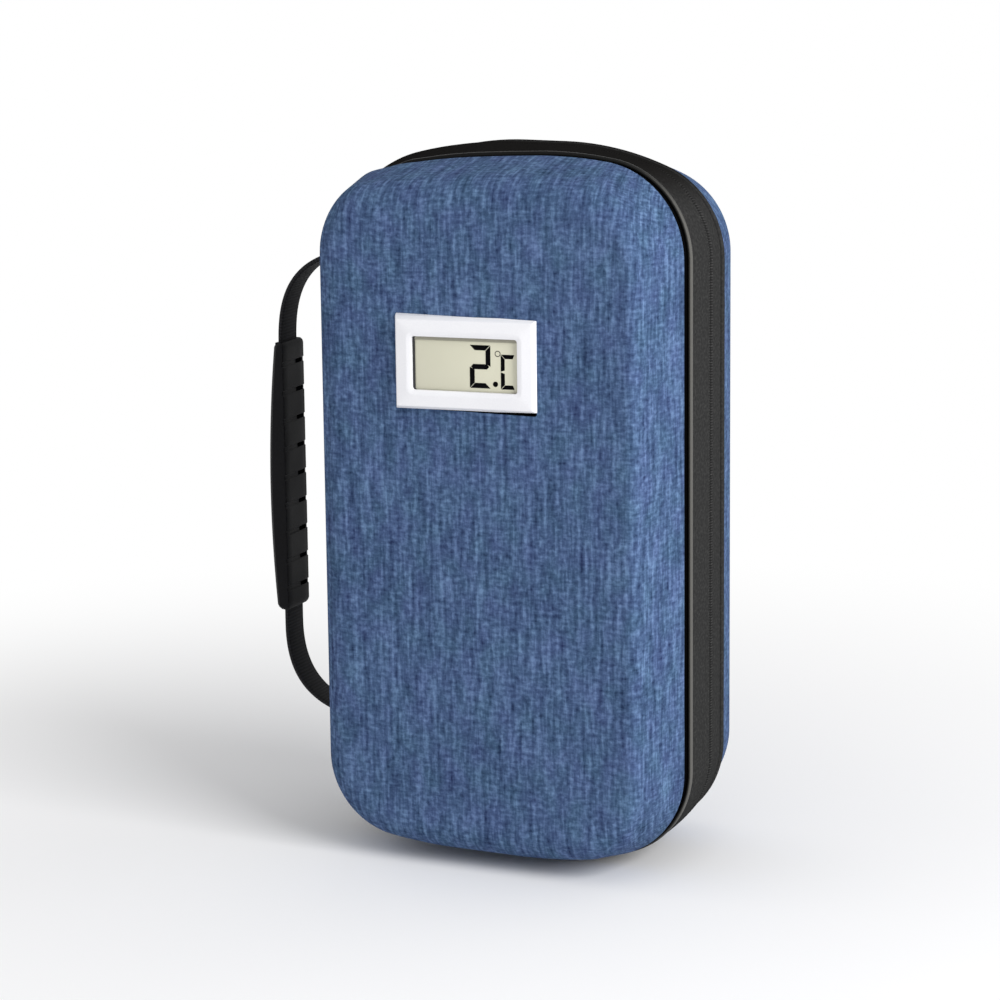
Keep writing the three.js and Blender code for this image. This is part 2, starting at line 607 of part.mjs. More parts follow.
function addHandle(group) {
  const strapGroup = new THREE.Group();
  const gripGroup = new THREE.Group();
  strapGroup.position.z = -HANDLE_DROP;
  gripGroup.position.z = GRIP_RAISE;
  // Seen from above the strap ends are round about the swing axis, so that they turn clear of the patches
  const plan = new THREE.Shape();
  plan.moveTo(GRIP_OUTER, -STRAP_WIDTH / 2);
  plan.lineTo(HANDLE_AXIS, -STRAP_WIDTH / 2);
  plan.absarc(HANDLE_AXIS, 0, STRAP_WIDTH / 2, -Math.PI / 2, Math.PI / 2);
  plan.lineTo(GRIP_OUTER, STRAP_WIDTH / 2);
  const upright = { depth: CASE_HEIGHT, bevelEnabled: false, curveSegments: ROUND_STEPS / 2 };
  const tall = new THREE.ExtrudeGeometry(plan, upright).translate(0, 0, -CASE_HEIGHT / 2);
  const strap = solid(plate(strapShape(), around(0, 2 * STRAP_WIDTH))).intersect(solid(tall));
  addPart(strapGroup, 'handle_strap', strap, BLACK_WEBBING);
  const slot = solid(box(
    around(STRAP_PLANE, STRAP_THICK + 2 * GAP),
    around(0, STRAP_WIDTH + 2 * GAP),
    around(0, 2 * GRIP_LENGTH),
  ));
  const grip = solid(plate(gripShape(), around(0, GRIP_WIDTH), GRIP_CHAMFER)).subtract(slot);
  addPart(gripGroup, 'handle_grip', grip, BLACK_GRIP);
  strapGroup.add(gripGroup);
  group.add(strapGroup);
}

// Panel thermometer, in a frame whose Y runs inwards from the front face of the case
const FLANGE_BACK = -GAP;
const FLANGE_FRONT = FLANGE_BACK - BEZEL_EDGE - BEZEL_RISE;
const PANEL_BACK = FLANGE_FRONT + PANEL_THICK;
const BEZEL_WIDTH = HOUSING_WIDTH + 2 * BEZEL_LAP;
const BEZEL_HEIGHT = HOUSING_HEIGHT + 2 * BEZEL_LAP;
const WINDOW_WIDTH = HOUSING_WIDTH - 2 * WINDOW_FRAME_X;
const WINDOW_HEIGHT = HOUSING_HEIGHT - 2 * WINDOW_FRAME_Z;
const GLASS = [PANEL_BACK + GAP, PANEL_BACK + GAP + GLASS_THICK];
const GLASS_HALF_X = WINDOW_WIDTH / 2 + GLASS_LAP_X;
const GLASS_HALF_Z = WINDOW_HEIGHT / 2 + GLASS_LAP_Z;
const ZEBRA = [GLASS[1] + GAP, GLASS[1] + GAP + ZEBRA_THICK];
const BOARD = [ZEBRA[1] + GAP, ZEBRA[1] + GAP + BOARD_THICK];
const HOLDER = [BOARD[1] + GAP, BOARD[1] + GAP + CONTACT_THICK + GAP + CELL_THICK];
const CELL = [HOLDER[1] - CELL_THICK, HOLDER[1]];
const REAR_COVER = [CELL[1] + GAP, CELL[1] + GAP + REAR_COVER_THICK];
const DOOR = [REAR_COVER[1] + GAP, REAR_COVER[1] + GAP + DOOR_THICK];
const HOUSING_END = REAR_COVER[0] - GAP;
const CAVITY_HALF_X = HOUSING_WIDTH / 2 - HOUSING_WALL;
const CAVITY_HALF_Z = HOUSING_HEIGHT / 2 - HOUSING_WALL;
const BOSS_INNER = GLASS_HALF_X + GAP;
const SCREW_X = (BOSS_INNER + CAVITY_HALF_X) / 2;
const HOLDER_HALF_X = CELL_PITCH / 2 + CELL_RADIUS + GAP + HOLDER_WALL;
const HOLDER_HALF_Z = CELL_RADIUS + GAP + HOLDER_WALL;
const DOOR_HALF_X = HOLDER_HALF_X + DOOR_LAP;
const DOOR_HALF_Z = HOLDER_HALF_Z + DOOR_LAP;
const BAY_END = CAVITY_HALF_X - GAP - COVER_LIP;
const SIDE_BAY = BAY_END - BAY_WIDTH / 2;
const HOLDER_X = BAY_END - BAY_WIDTH - DOOR_HALF_X;
const BAY_HEIGHT = CAVITY_HALF_Z / 2;

function rectangleRing(halfX, halfZ, y) {
  return [[-1, -1], [1, -1], [1, 1], [-1, 1]].map(([i, j]) => new THREE.Vector3(i * halfX, y, j * halfZ));
}

function addHousing(group) {
  const bevelled = loft([
    rectangleRing(BEZEL_WIDTH / 2, BEZEL_HEIGHT / 2, FLANGE_BACK),
    rectangleRing(BEZEL_WIDTH / 2, BEZEL_HEIGHT / 2, FLANGE_BACK - BEZEL_EDGE),
    rectangleRing(BEZEL_WIDTH / 2 - BEZEL_BEVEL, BEZEL_HEIGHT / 2 - BEZEL_BEVEL, FLANGE_FRONT),
  ]);
  const barbStart = CAVITY_SKIN + GAP;
  const barbs = loft([
    rectangleRing(HOUSING_WIDTH / 2 + BARB_REACH, BARB_HEIGHT / 2, barbStart),
    rectangleRing(HOUSING_WIDTH / 2, BARB_HEIGHT / 2, barbStart + BARB_LENGTH),
  ]);
  const tubeY = [FLANGE_BACK - BEZEL_EDGE / 2, HOUSING_END];
  const hollowY = [PANEL_BACK, HOUSING_END + BARB_LENGTH];
  const windowY = [FLANGE_FRONT - GAP, PANEL_BACK + GAP];
  const tube = box(around(0, HOUSING_WIDTH), tubeY, around(0, HOUSING_HEIGHT));
  const hollow = box(around(0, 2 * CAVITY_HALF_X), hollowY, around(0, 2 * CAVITY_HALF_Z));
  const window = box(around(0, WINDOW_WIDTH), windowY, around(0, WINDOW_HEIGHT));
  let housing = unite(bevelled, barbs, tube).subtract(solid(hollow)).subtract(solid(window));
  const bossEnd = BOARD[0] - GAP;
  for (const side of [-1, 1]) {
    const x = [side * BOSS_INNER, side * (CAVITY_HALF_X + HOUSING_WALL / 2)].sort((a, b) => a - b);
    const boss = box(x, [PANEL_BACK - PANEL_THICK / 2, bossEnd], around(0, BOSS_HEIGHT));
    const pilot = rod(SCREW_RADIUS + GAP, [bossEnd - SCREW_BITE - GAP, bossEnd + GAP]);
    housing = housing.add(solid(boss)).subtract(solid(pilot.translate(side * SCREW_X, 0, 0)));
  }
  addPart(group, 'display_housing', housing, WHITE_PLASTIC);
}

function addDisplayStack(group) {
  const glass = box(around(0, 2 * GLASS_HALF_X), GLASS, around(0, 2 * GLASS_HALF_Z));
  addPart(group, 'lcd_glass', glass, LCD_GREEN);
  const ledge = -GLASS_HALF_Z + ZEBRA_HEIGHT;
  const reflectorY = [GLASS[1] + GAP, GLASS[1] + GAP + REFLECTOR_THICK];
  const reflector = box(around(0, WINDOW_WIDTH), reflectorY, [ledge + GAP, GLASS_HALF_Z]);
  addPart(group, 'lcd_reflector', reflector, PALE_FILM);
  const zebra = box(around(0, WINDOW_WIDTH), ZEBRA, [-GLASS_HALF_Z, ledge]);
  addPart(group, 'zebra_connector', zebra, GREY_RUBBER);

  let board = solid(box(around(0, 2 * (CAVITY_HALF_X - GAP)), BOARD, around(0, 2 * (CAVITY_HALF_Z - GAP))));
  for (const [name, side] of [['board_screw_left', -1], ['board_screw_right', 1]]) {
    const hole = rod(SCREW_RADIUS + GAP, [BOARD[0] - GAP, BOARD[1] + GAP]);
    board = board.subtract(solid(hole.translate(side * SCREW_X, 0, 0)));
    const seat = BOARD[1] + GAP;
    const tip = BOARD[0] - GAP - SCREW_BITE;
    const screw = turned([[0, tip], [SCREW_RADIUS, tip], [SCREW_RADIUS, seat], [SCREW_HEAD_RADIUS, seat],
      [SCREW_HEAD_RADIUS, seat + SCREW_HEAD], [0, seat + SCREW_HEAD]]);
    addPart(group, name, screw.translate(side * SCREW_X, 0, 0), BRIGHT_STEEL);
  }
  addPart(group, 'circuit_board', board, BOARD_GREEN);

  const foot = BOARD[1] + GAP;
  const tip = foot + SENSOR_LENGTH;
  const waist = SENSOR_RADIUS / 2;
  const bead = turned([[0, foot], [waist, foot], [SENSOR_RADIUS, (foot + tip) / 2], [waist, tip], [0, tip]]);
  addPart(group, 'temperature_sensor', bead.translate(SIDE_BAY, 0, -BAY_HEIGHT), DARK_BEAD);
}

// Leaf spring seen from above: its ends lie on the cells and its arched middle reaches to the door
function leafSpring(halfLength, y) {
  const [low, high] = [y[0] + CONTACT_THICK, y[1] - CONTACT_THICK];
  const shape = new THREE.Shape();
  shape.moveTo(-halfLength, y[0]);
  shape.lineTo(-CONTACT_ARCH, y[0]);
  shape.lineTo(-CONTACT_ARCH + CONTACT_RAMP, high);
  shape.lineTo(CONTACT_ARCH - CONTACT_RAMP, high);
  shape.lineTo(CONTACT_ARCH, y[0]);
  shape.lineTo(halfLength, y[0]);
  shape.lineTo(halfLength, low);
  shape.lineTo(CONTACT_ARCH, low);
  shape.lineTo(CONTACT_ARCH - CONTACT_RAMP, y[1]);
  shape.lineTo(-CONTACT_ARCH + CONTACT_RAMP, y[1]);
  shape.lineTo(-CONTACT_ARCH, low);
  shape.lineTo(-halfLength, low);
  const bent = new THREE.ExtrudeGeometry(shape, { depth: CONTACT_HEIGHT, bevelEnabled: false });
  return bent.translate(0, 0, -CONTACT_HEIGHT / 2);
}

function addBatteries(group) {
  let holder = solid(box(around(HOLDER_X, 2 * HOLDER_HALF_X), HOLDER, around(0, 2 * HOLDER_HALF_Z)));
  const capEnd = CELL[0] + CELL_CAP_STEP;
  for (const [name, side] of [['button_cell_left', -1], ['button_cell_right', 1]]) {
    const x = HOLDER_X + (side * CELL_PITCH) / 2;
    const pocket = rod(CELL_RADIUS + GAP, [HOLDER[0] - GAP, HOLDER[1] + GAP]);
    holder = holder.subtract(solid(pocket.translate(x, 0, 0)));
    const cell = turned([[0, CELL[0]], [CELL_CAP_RADIUS, CELL[0]], [CELL_CAP_RADIUS, capEnd],
      [CELL_RADIUS, capEnd], [CELL_RADIUS, CELL[1]], [0, CELL[1]]]);
    addPart(group, name, cell.translate(x, 0, 0), BRIGHT_STEEL);
  }
  const contactHalf = CELL_PITCH / 2 + CELL_CAP_RADIUS / 2;
  const contactY = [HOLDER[0], HOLDER[0] + CONTACT_THICK];
  const channelY = [contactY[0] - GAP, contactY[1] + GAP];
  const channelX = around(HOLDER_X, 2 * (contactHalf + GAP));
  const channel = box(channelX, channelY, around(0, CONTACT_HEIGHT + 2 * GAP));
  addPart(group, 'battery_holder', holder.subtract(solid(channel)), WHITE_PLASTIC);
  const contact = box(around(HOLDER_X, 2 * contactHalf), contactY, around(0, CONTACT_HEIGHT));
  addPart(group, 'battery_contact_board', contact, BRIGHT_STEEL);
  const spring = leafSpring(contactHalf, [CELL[1] + GAP, DOOR[0] - GAP]);
  addPart(group, 'battery_contact_spring', spring.translate(HOLDER_X, 0, 0), BRIGHT_STEEL);
}

function addRearCover(group, doorGroup) {
  const plateBox = box(around(0, HOUSING_WIDTH), REAR_COVER, around(0, HOUSING_HEIGHT));
  const lipHalfX = CAVITY_HALF_X - GAP;
  const lipHalfZ = CAVITY_HALF_Z - GAP;
  const lipY = [REAR_COVER[0] - COVER_LIP_DEPTH, REAR_COVER[0] + REAR_COVER_THICK / 2];
  const lip = solid(box(around(0, 2 * lipHalfX), lipY, around(0, 2 * lipHalfZ))).subtract(solid(box(
    around(0, 2 * (lipHalfX - COVER_LIP)),
    [lipY[0] - GAP, lipY[1] + GAP],
    around(0, 2 * (lipHalfZ - COVER_LIP)),
  )));
  const hatchY = [lipY[0] - GAP, REAR_COVER[1] + GAP];
  const hatch = box(around(HOLDER_X, 2 * HOLDER_HALF_X), hatchY, around(0, 2 * HOLDER_HALF_Z));
  let cover = solid(plateBox).subtract(solid(hatch)).add(lip);
  for (let i = 0; i < VENT_COUNT; i += 1) {
    const z = -BAY_HEIGHT + (i - (VENT_COUNT - 1) / 2) * VENT_PITCH;
    cover = cover.subtract(solid(box(around(SIDE_BAY, VENT_LENGTH), hatchY, around(z, VENT_WIDTH))));
  }
  const inlet = rod(INLET_RADIUS + GAP, hatchY);
  cover = cover.subtract(solid(inlet.translate(SIDE_BAY, 0, BAY_HEIGHT)));
  const railFoot = REAR_COVER[0] + REAR_COVER_THICK / 2;
  const railTop = DOOR[1] + GAP + DOOR_THICK;
  const railX = around(HOLDER_X, 2 * HOLDER_HALF_X);
  for (const side of [-1, 1]) {
    const postInner = DOOR_HALF_Z + GAP;
    const post = [side * postInner, side * (postInner + RAIL_WIDTH)].sort((a, b) => a - b);
    const lipZ = [side * (DOOR_HALF_Z - RAIL_LIP), side * (postInner + RAIL_WIDTH)].sort((a, b) => a - b);
    cover = cover.add(solid(box(railX, [railFoot, railTop], post)));
    cover = cover.add(solid(box(railX, [DOOR[1] + GAP, railTop], lipZ)));
  }
  const doorEnd = HOLDER_X + DOOR_HALF_X;
  const stopX = [doorEnd + GAP, doorEnd + GAP + RAIL_WIDTH];
  const stop = box(stopX, [railFoot, DOOR[1]], around(0, DOOR_STOP));
  addPart(group, 'display_rear_cover', cover.add(solid(stop)), WHITE_PLASTIC);

  const flange = INLET_RADIUS + INLET_FLANGE;
  const [low, high] = [REAR_COVER[0] - GAP, REAR_COVER[1] + GAP];
  const [lowEnd, highEnd] = [low - INLET_FLANGE, high + INLET_FLANGE];
  const grommet = turned([[INLET_BORE, lowEnd], [flange, lowEnd], [flange, low], [INLET_RADIUS, low],
    [INLET_RADIUS, high], [flange, high], [flange, highEnd], [INLET_BORE, highEnd], [INLET_BORE, lowEnd]]);
  addPart(group, 'probe_inlet_grommet', grommet.translate(SIDE_BAY, 0, BAY_HEIGHT), DARK_BEAD);

  const door = box(around(HOLDER_X, 2 * DOOR_HALF_X), DOOR, around(0, 2 * DOOR_HALF_Z));
  addPart(doorGroup, 'battery_door', door, WHITE_PLASTIC);
}

function addDisplay(group, doorGroup) {
  for (const target of [group, doorGroup]) {
    target.position.set(DISPLAY_X, FRONT_FACE, DISPLAY_Z);
  }
  addHousing(group);
  addDisplayStack(group);
  addBatteries(group);
  addRearCover(group, doorGroup);
}

// Cooling packs, the panels that hold them, and the elastic bands for pens
function addContents(frontGroup, rearGroup) {
  const frontFloor = FRONT_FACE + CAVITY_SKIN;
  const rearFloor = REAR_FACE - CAVITY_SKIN;
  const rearPack = [rearFloor - GAP - GEL_THICK, rearFloor - GAP];
  const frontPack = [frontFloor + GAP, frontFloor + GAP + GEL_THICK];
  const rearInset = cavityInset(REAR_DEPTH, REAR_EDGE_RADIUS, REAR_DEPTH - CAVITY_SKIN - GEL_THICK / 2);
  const frontInset = cavityInset(FRONT_DEPTH, FRONT_EDGE_RADIUS, FRONT_DEPTH - CAVITY_SKIN - GEL_THICK / 2);
  const endZ = (inset) => CASE_HEIGHT / 2 - inset - GEL_END_MARGIN;
  const wide = (inset) => around(0, CASE_WIDTH - 2 * (inset + GEL_MARGIN));
  const rearPouch = pouch(wide(rearInset), around(0, 2 * endZ(rearInset)), rearPack);
  addPart(rearGroup, 'gel_pack_rear', rearPouch, GEL_BLUE);

  const dividerY = [rearPack[0] - GAP - DIVIDER_THICK, rearPack[0] - GAP];
  const dividerInset = cavityInset(REAR_DEPTH, REAR_EDGE_RADIUS, dividerY[1] - REAR_RIM) + GAP;
  addPart(rearGroup, 'divider_panel', plate(new THREE.Shape(outline(-dividerInset)), dividerY), GREY_CLOTH);
  const bandY = [dividerY[0] - GAP - PEN_BAND_THICK, dividerY[0] - GAP];
  const bandX = around(0, CASE_WIDTH - 2 * (dividerInset + PEN_BAND_MARGIN));
  for (const [name, end] of [['pen_elastic_upper', 1], ['pen_elastic_lower', -1]]) {
    const band = box(bandX, bandY, around((end * PEN_BAND_SPACING) / 2, PEN_BAND_HEIGHT));
    addPart(rearGroup, name, band, BLACK_ELASTIC);
  }

  const pocketTop = DISPLAY_Z - HOUSING_HEIGHT / 2 - POCKET_CLEARANCE;
  const packZ = [-endZ(frontInset), pocketTop - GEL_MARGIN / 2];
  addPart(frontGroup, 'gel_pack_front', pouch(wide(frontInset), packZ, frontPack), GEL_BLUE);
  const pocketY = [frontPack[1] + GAP, frontPack[1] + GAP + POCKET_THICK];
  const pocketInset = cavityInset(FRONT_DEPTH, FRONT_EDGE_RADIUS, FRONT_RIM - pocketY[0]) + GAP;
  const below = box(around(0, CASE_WIDTH), [pocketY[0] - GAP, pocketY[1] + GAP], [-CASE_HEIGHT, pocketTop]);
  const pocket = solid(plate(new THREE.Shape(outline(-pocketInset)), pocketY)).intersect(solid(below));
  addPart(frontGroup, 'pocket_panel', pocket, GREY_CLOTH);
}

const model = new THREE.Group();
const rear = new THREE.Group();
const lid = new THREE.Group();
const display = new THREE.Group();
const door = new THREE.Group();
const spine = new THREE.Group();
const handle = new THREE.Group();
const slider = new THREE.Group();
const pull = new THREE.Group();
model.add(rear, lid, spine, handle, slider, pull);
lid.add(display, door);
addHalfShells(lid, rear);
addBand(lid, rear);
addSlider(slider, pull);
addSpine(spine);
addHandle(handle);
addDisplay(display, door);
addContents(lid, rear);

// The origin goes to the middle of the base of the whole object
const right = CASE_WIDTH / 2 + Math.max(WELT_OUTER, TAPE_OUTER, 0);
const base = CASE_HEIGHT / 2 + Math.max(WELT_OUTER, TAPE_OUTER, 0);
model.position.set(-(GRIP_OUTER + right) / 2, -(FRONT_FACE + FLANGE_FRONT + REAR_FACE) / 2, base);

export default model;
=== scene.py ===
import math

import bmesh
import bpy
import numpy as np
from mathutils import Matrix, Vector


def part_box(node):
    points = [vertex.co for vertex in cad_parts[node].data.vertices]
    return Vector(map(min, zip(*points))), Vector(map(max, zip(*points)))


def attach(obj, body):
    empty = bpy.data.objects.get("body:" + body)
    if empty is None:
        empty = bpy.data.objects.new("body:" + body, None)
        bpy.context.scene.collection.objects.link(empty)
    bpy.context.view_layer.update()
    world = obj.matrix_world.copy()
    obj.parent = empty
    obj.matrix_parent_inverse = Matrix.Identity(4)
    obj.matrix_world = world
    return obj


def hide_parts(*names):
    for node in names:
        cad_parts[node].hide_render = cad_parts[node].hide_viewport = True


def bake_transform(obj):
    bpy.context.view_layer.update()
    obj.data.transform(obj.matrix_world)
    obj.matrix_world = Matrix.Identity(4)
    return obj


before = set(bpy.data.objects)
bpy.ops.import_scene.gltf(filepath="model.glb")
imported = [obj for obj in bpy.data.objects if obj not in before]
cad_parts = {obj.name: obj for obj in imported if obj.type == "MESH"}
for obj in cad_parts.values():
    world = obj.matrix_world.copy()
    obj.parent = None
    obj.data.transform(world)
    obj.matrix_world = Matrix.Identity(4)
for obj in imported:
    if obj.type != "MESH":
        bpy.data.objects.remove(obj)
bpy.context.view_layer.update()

# Driving sizes, in millimetres about the middle of the case: X to the right, Y to the rear, Z up
MM = 0.001
CASE_WIDTH = 120
CASE_HEIGHT = 225
FRONT_FACE = -41.2
BAND_HALF = 15.7
SEAM = 2.5
FRONT_CORNER, REAR_CORNER = 30, 29.6
FRONT_CROWN, REAR_CROWN = math.radians(7.7), math.radians(22.0)
FRONT_FLAT, REAR_FLAT = 20, 14

# Half shells: the front one has a firmer edge down its right side
DRAFT = math.radians(12)
FRONT = {"rim": -BAND_HALF, "side": -1, "depth": 25.5, "draft": DRAFT, "round": 10, "collar": 12.7}
REAR = {"rim": BAND_HALF, "side": 1, "depth": 24, "draft": DRAFT, "round": 13.5, "collar": 7.7}
FRONT["right"] = {"draft": math.radians(14.5), "round": 4}
REAR["right"] = {}
# X of the outline's normal where the right side's own edge begins, and where it is complete
RIGHT_SIDE = 0.6, 1.0
FABRIC_THICK = 0.8
FOAM_SKIN, FOAM_THICK = 1.1, 4
LINER_SKIN, LINER_THICK = 5.4, 2
LEAST_ROUND = 0.4
FRONT_FULL, REAR_FULL = 0.25, 0.5
FACE_MIDDLE = 0.02
# Keeps the weave of the two halves from being the same
CLOTH_APART = 50.0

# The soft front half sinks at its upper left corner, and the band tucks in behind it there
SINK_X = (-51, -48, -44.5, -40.5, -30.5, -15, 0, 12, 25, 40)
SINK_Z = (0, 0.4, 1.6, 2.5, 2.5, 1.6, 0.6, 0, -0.4, -0.6)
SINK_SKEW = 0.2
SINK_BLUR = (-1.5, 0, 1.5)
SINK_DEPTH = 1, -14
SINK_HEIGHT = 62, 104
TUCK = 0.9
TUCK_LEFT, TUCK_RIGHT = (-57, -50), (-33, -42)
TUCK_FRONT, TUCK_REAR = (-15.4, -13.2), (-1, -9)

# Panel thermometer: its middle, and half its width and height
DISPLAY_X, DISPLAY_Z = -2.4, 50.3
HOUSING = np.array((23, 13.3))
HOUSING_ROOM = 0.3

# Facets of the curves
CORNER_STEPS = 22
CROWN_STEPS = 12
FLAT_STEPS = 4
SIDE_STEPS = 20
WALL_STEPS = 4
EDGE_STEPS = 10
FACE_STEPS = 9
ROLL_STEPS = 4

welt_low, welt_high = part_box("front_welt")
cover_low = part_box("front_fabric_cover")[0]
ORIGIN = np.array((
    (welt_low.x + welt_high.x) / 2,
    cover_low.y - FRONT_FACE * MM,
    (welt_low.z + welt_high.z) / 2,
))


# Meshes: a shape is a pair of points and faces


def smooth(values, start, stop):
    """Smooth step from 0 at start to 1 at stop."""
    share = np.clip((values - start) / (stop - start), 0, 1)
    return share * share * (3 - 2 * share)


def in_frame(points):
    """Points of the case, in millimetres, in the row frame."""
    return np.asarray(points, float) * MM + ORIGIN


def settled(points):
    """Points of the case as its soft front half and the band have sunk."""
    x, y, z = np.asarray(points, float).T
    place = x + SINK_SKEW * np.minimum(y + BAND_HALF, 0)
    lean = np.mean([np.interp(place + step, SINK_X, SINK_Z) for step in SINK_BLUR], axis=0)
    tuck = TUCK * smooth(x, *TUCK_LEFT) * smooth(x, *TUCK_RIGHT)
    tuck *= smooth(y, *TUCK_FRONT) * smooth(y, *TUCK_REAR)
    return np.column_stack((x, y, z - (lean * smooth(y, *SINK_DEPTH) + tuck) * smooth(z, *SINK_HEIGHT)))


def added(name, data):
    """A new object in the scene."""
    obj = bpy.data.objects.new(name, data)
    bpy.context.scene.collection.objects.link(obj)
    return obj


def piece(name, shape, finish, body, stands_for=(), sharp=35, weave=None):
    """A closed mesh that rides on a body and takes the place of CAD nodes."""
    points, faces = shape
    mesh = bpy.data.meshes.new(name)
    mesh.from_pydata(in_frame(settled(points)).tolist(), [], [list(face) for face in faces])
    if weave is not None:
        store = mesh.attributes.new("weave", "FLOAT_VECTOR", "POINT")
        store.data.foreach_set("vector", np.asarray(weave, np.float32).ravel())
    turned = bmesh.new()
    turned.from_mesh(mesh)
    bmesh.ops.recalc_face_normals(turned, faces=turned.faces)
    turned.to_mesh(mesh)
    turned.free()
    mesh.polygons.foreach_set("use_smooth", [True] * len(mesh.polygons))
    mesh.set_sharp_from_angle(angle=math.radians(sharp))
    mesh.materials.append(finish)
    obj = added(name, mesh)
    if stands_for:
        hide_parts(*stands_for)
    if body:
        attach(obj, body)
    return obj


def grid(rows, columns, wrap_rows=False, wrap_columns=True):
    """Faces of a grid of points, row by row."""
    faces = []
    for r in range(rows if wrap_rows else rows - 1):
        for c in range(columns if wrap_columns else columns - 1):
            below, beside = (r + 1) % rows, (c + 1) % columns
            here, there = r * columns, below * columns
            faces.append((here + c, here + beside, there + beside, there + c))
    return faces


def stack(rings, closed=False):
    """Shape through a row of rings, which closes on itself or has a face over each end."""
    rows, columns = len(rings), len(rings[0])
    last = (rows - 1) * columns
    ends = [] if closed else [range(columns), range(last, last + columns)]
    return np.vstack(rings), [*grid(rows, columns, wrap_rows=closed), *ends]


def joined(parts):
    """Several shapes as one."""
    points, faces = [], []
    for some, theirs in parts:
        start = sum(len(p) for p in points)
        points.append(np.asarray(some, float))
        faces += [[start + i for i in face] for face in theirs]
    return np.vstack(points), faces


def bevelled_box(x, y, z, bevel, segments=3):
    """Shape of a box between two corners with rounded edges."""
    made = bmesh.new()
    bmesh.ops.create_cube(made, size=1)
    size = Vector((x[1] - x[0], y[1] - y[0], z[1] - z[0]))
    middle = Vector((x[0] + x[1], y[0] + y[1], z[0] + z[1])) / 2
    for v in made.verts:
        v.co = Vector(a * b for a, b in zip(v.co, size)) + middle
    bmesh.ops.bevel(made, geom=made.edges[:], offset=bevel, segments=segments, profile=0.5, affect="EDGES")
    made.verts.index_update()
    points = np.array([tuple(v.co) for v in made.verts])
    faces = [[v.index for v in f.verts] for f in made.faces]
    made.free()
    return points, faces


def around(centre, size):
    """Both ends of a length about its middle."""
    return centre - size / 2, centre + size / 2


def at_side(flat, x):
    """Points (y, z) at x."""
    return np.column_stack((np.full(len(flat), x), flat))


def at_depth(flat, y):
    """Points (x, z) at y."""
    return np.column_stack((flat[:, 0], np.full(len(flat), y), flat[:, 1]))


def at_height(flat, z):
    """Points (x, y) at z."""
    return np.column_stack((flat, np.full(len(flat), z)))


def lengths(line):
    """Length along a line of points, at each of them."""
    return np.concatenate(([0], np.cumsum(np.linalg.norm(np.diff(line, axis=0), axis=1))))


def rounded_section(half_u, half_v, radius, steps=4):
    """Rounded rectangle round the origin, anticlockwise."""
    points = []
    for k, (side_u, side_v) in enumerate(((1, 1), (-1, 1), (-1, -1), (1, -1))):
        for i in range(steps + 1):
            turn = math.pi / 2 * (k + i / steps)
            points.append((side_u * (half_u - radius) + radius * math.cos(turn),
                           side_v * (half_v - radius) + radius * math.sin(turn)))
    return np.array(points)


def swept_line(line, ring):
    """Rings of a section along a line of (x, z) points, with its first side along Y."""
    along = np.gradient(line, axis=0)
    along /= np.linalg.norm(along, axis=1)[:, None]
    across = np.column_stack((along[:, 1], -along[:, 0]))
    return [at_depth(place + ring[:, 1:] * out, ring[:, 0]) for place, out in zip(line, across)]


# Outline of the case, as (x, z) points with outward normals, anticlockwise seen from the front


def arc(centre, radius, start, stop, steps):
    """Points of an arc and their normals. Angles go from Z towards X."""
    turn = np.linspace(start, stop, steps + 1)
    normal = np.column_stack((np.sin(turn), np.cos(turn)))
    return np.array(centre) + radius * normal, normal


def curves_at(y):
    """Corner radius, crown angle and end flat of the outline, which change from front to rear."""
    share = min(max((y + BAND_HALF) / (2 * BAND_HALF), 0), 1)
    ends = (FRONT_CORNER, REAR_CORNER), (FRONT_CROWN, REAR_CROWN), (FRONT_FLAT, REAR_FLAT)
    return [front + (rear - front) * share for front, rear in ends]


def quarter(offset, y, turn=math.pi / 2):
    """Upper right quarter of the outline at y, moved out by offset, from the side to the top flat."""
    corner, crown_angle, flat = curves_at(y)
    sine = math.sin(crown_angle)
    crown = (CASE_WIDTH / 2 - flat / 2 - corner * (1 - sine)) / sine
    crown_z = CASE_HEIGHT / 2 - crown
    corner_z = crown_z + (crown - corner) * math.cos(crown_angle)
    bend = arc((CASE_WIDTH / 2 - corner, corner_z), corner + offset, turn, crown_angle, CORNER_STEPS)
    end = arc((flat / 2, crown_z), crown + offset, crown_angle, 0, CROWN_STEPS)
    return tuple(np.vstack((a, b[1:])) for a, b in zip(bend, end))


def mirrored(part, sign_x, sign_z):
    """A quarter on another side, still anticlockwise."""
    signs = np.array((sign_x, sign_z))
    return tuple(a * signs if sign_x * sign_z > 0 else a[::-1] * signs for a in part)


def linked(quarters, closed=False):
    """Quarters of the outline one after another, with the straight runs between them."""
    parts = []
    for before, after in zip(quarters, quarters[1:] + quarters[:closed]):
        start, stop, normal = before[0][-1], after[0][0], before[1][-1]
        steps = FLAT_STEPS if abs(normal[1]) > abs(normal[0]) else SIDE_STEPS
        share = np.linspace(0, 1, steps + 1)[1:-1, None]
        parts += [before, (start + (stop - start) * share, np.tile(normal, (len(share), 1)))]
    if not closed:
        parts.append(quarters[-1])
    return tuple(np.vstack(each) for each in zip(*parts))


def outline(offset, y):
    """The whole outline at y, moved out by offset."""
    part = quarter(offset, y)
    corners = (1, 1), (-1, 1), (-1, -1), (1, -1)
    return linked([mirrored(part, *signs) for signs in corners], closed=True)


def open_outline(offset, y, lower_stop, upper_stop):
    """The outline from the lower left round the right side to the upper left."""
    part = quarter(offset, y)
    lower_left = mirrored(quarter(offset, y, math.pi / 2 - lower_stop), -1, -1)
    upper_left = mirrored(quarter(offset, y, math.pi / 2 - upper_stop), -1, 1)
    return linked([lower_left, mirrored(part, 1, -1), part, upper_left])


# Materials

BROADER = 25
GLOSS_WEAR = 0.06
# Period of a wave texture of scale one
WAVE_PERIOD = 2 * math.pi / 20
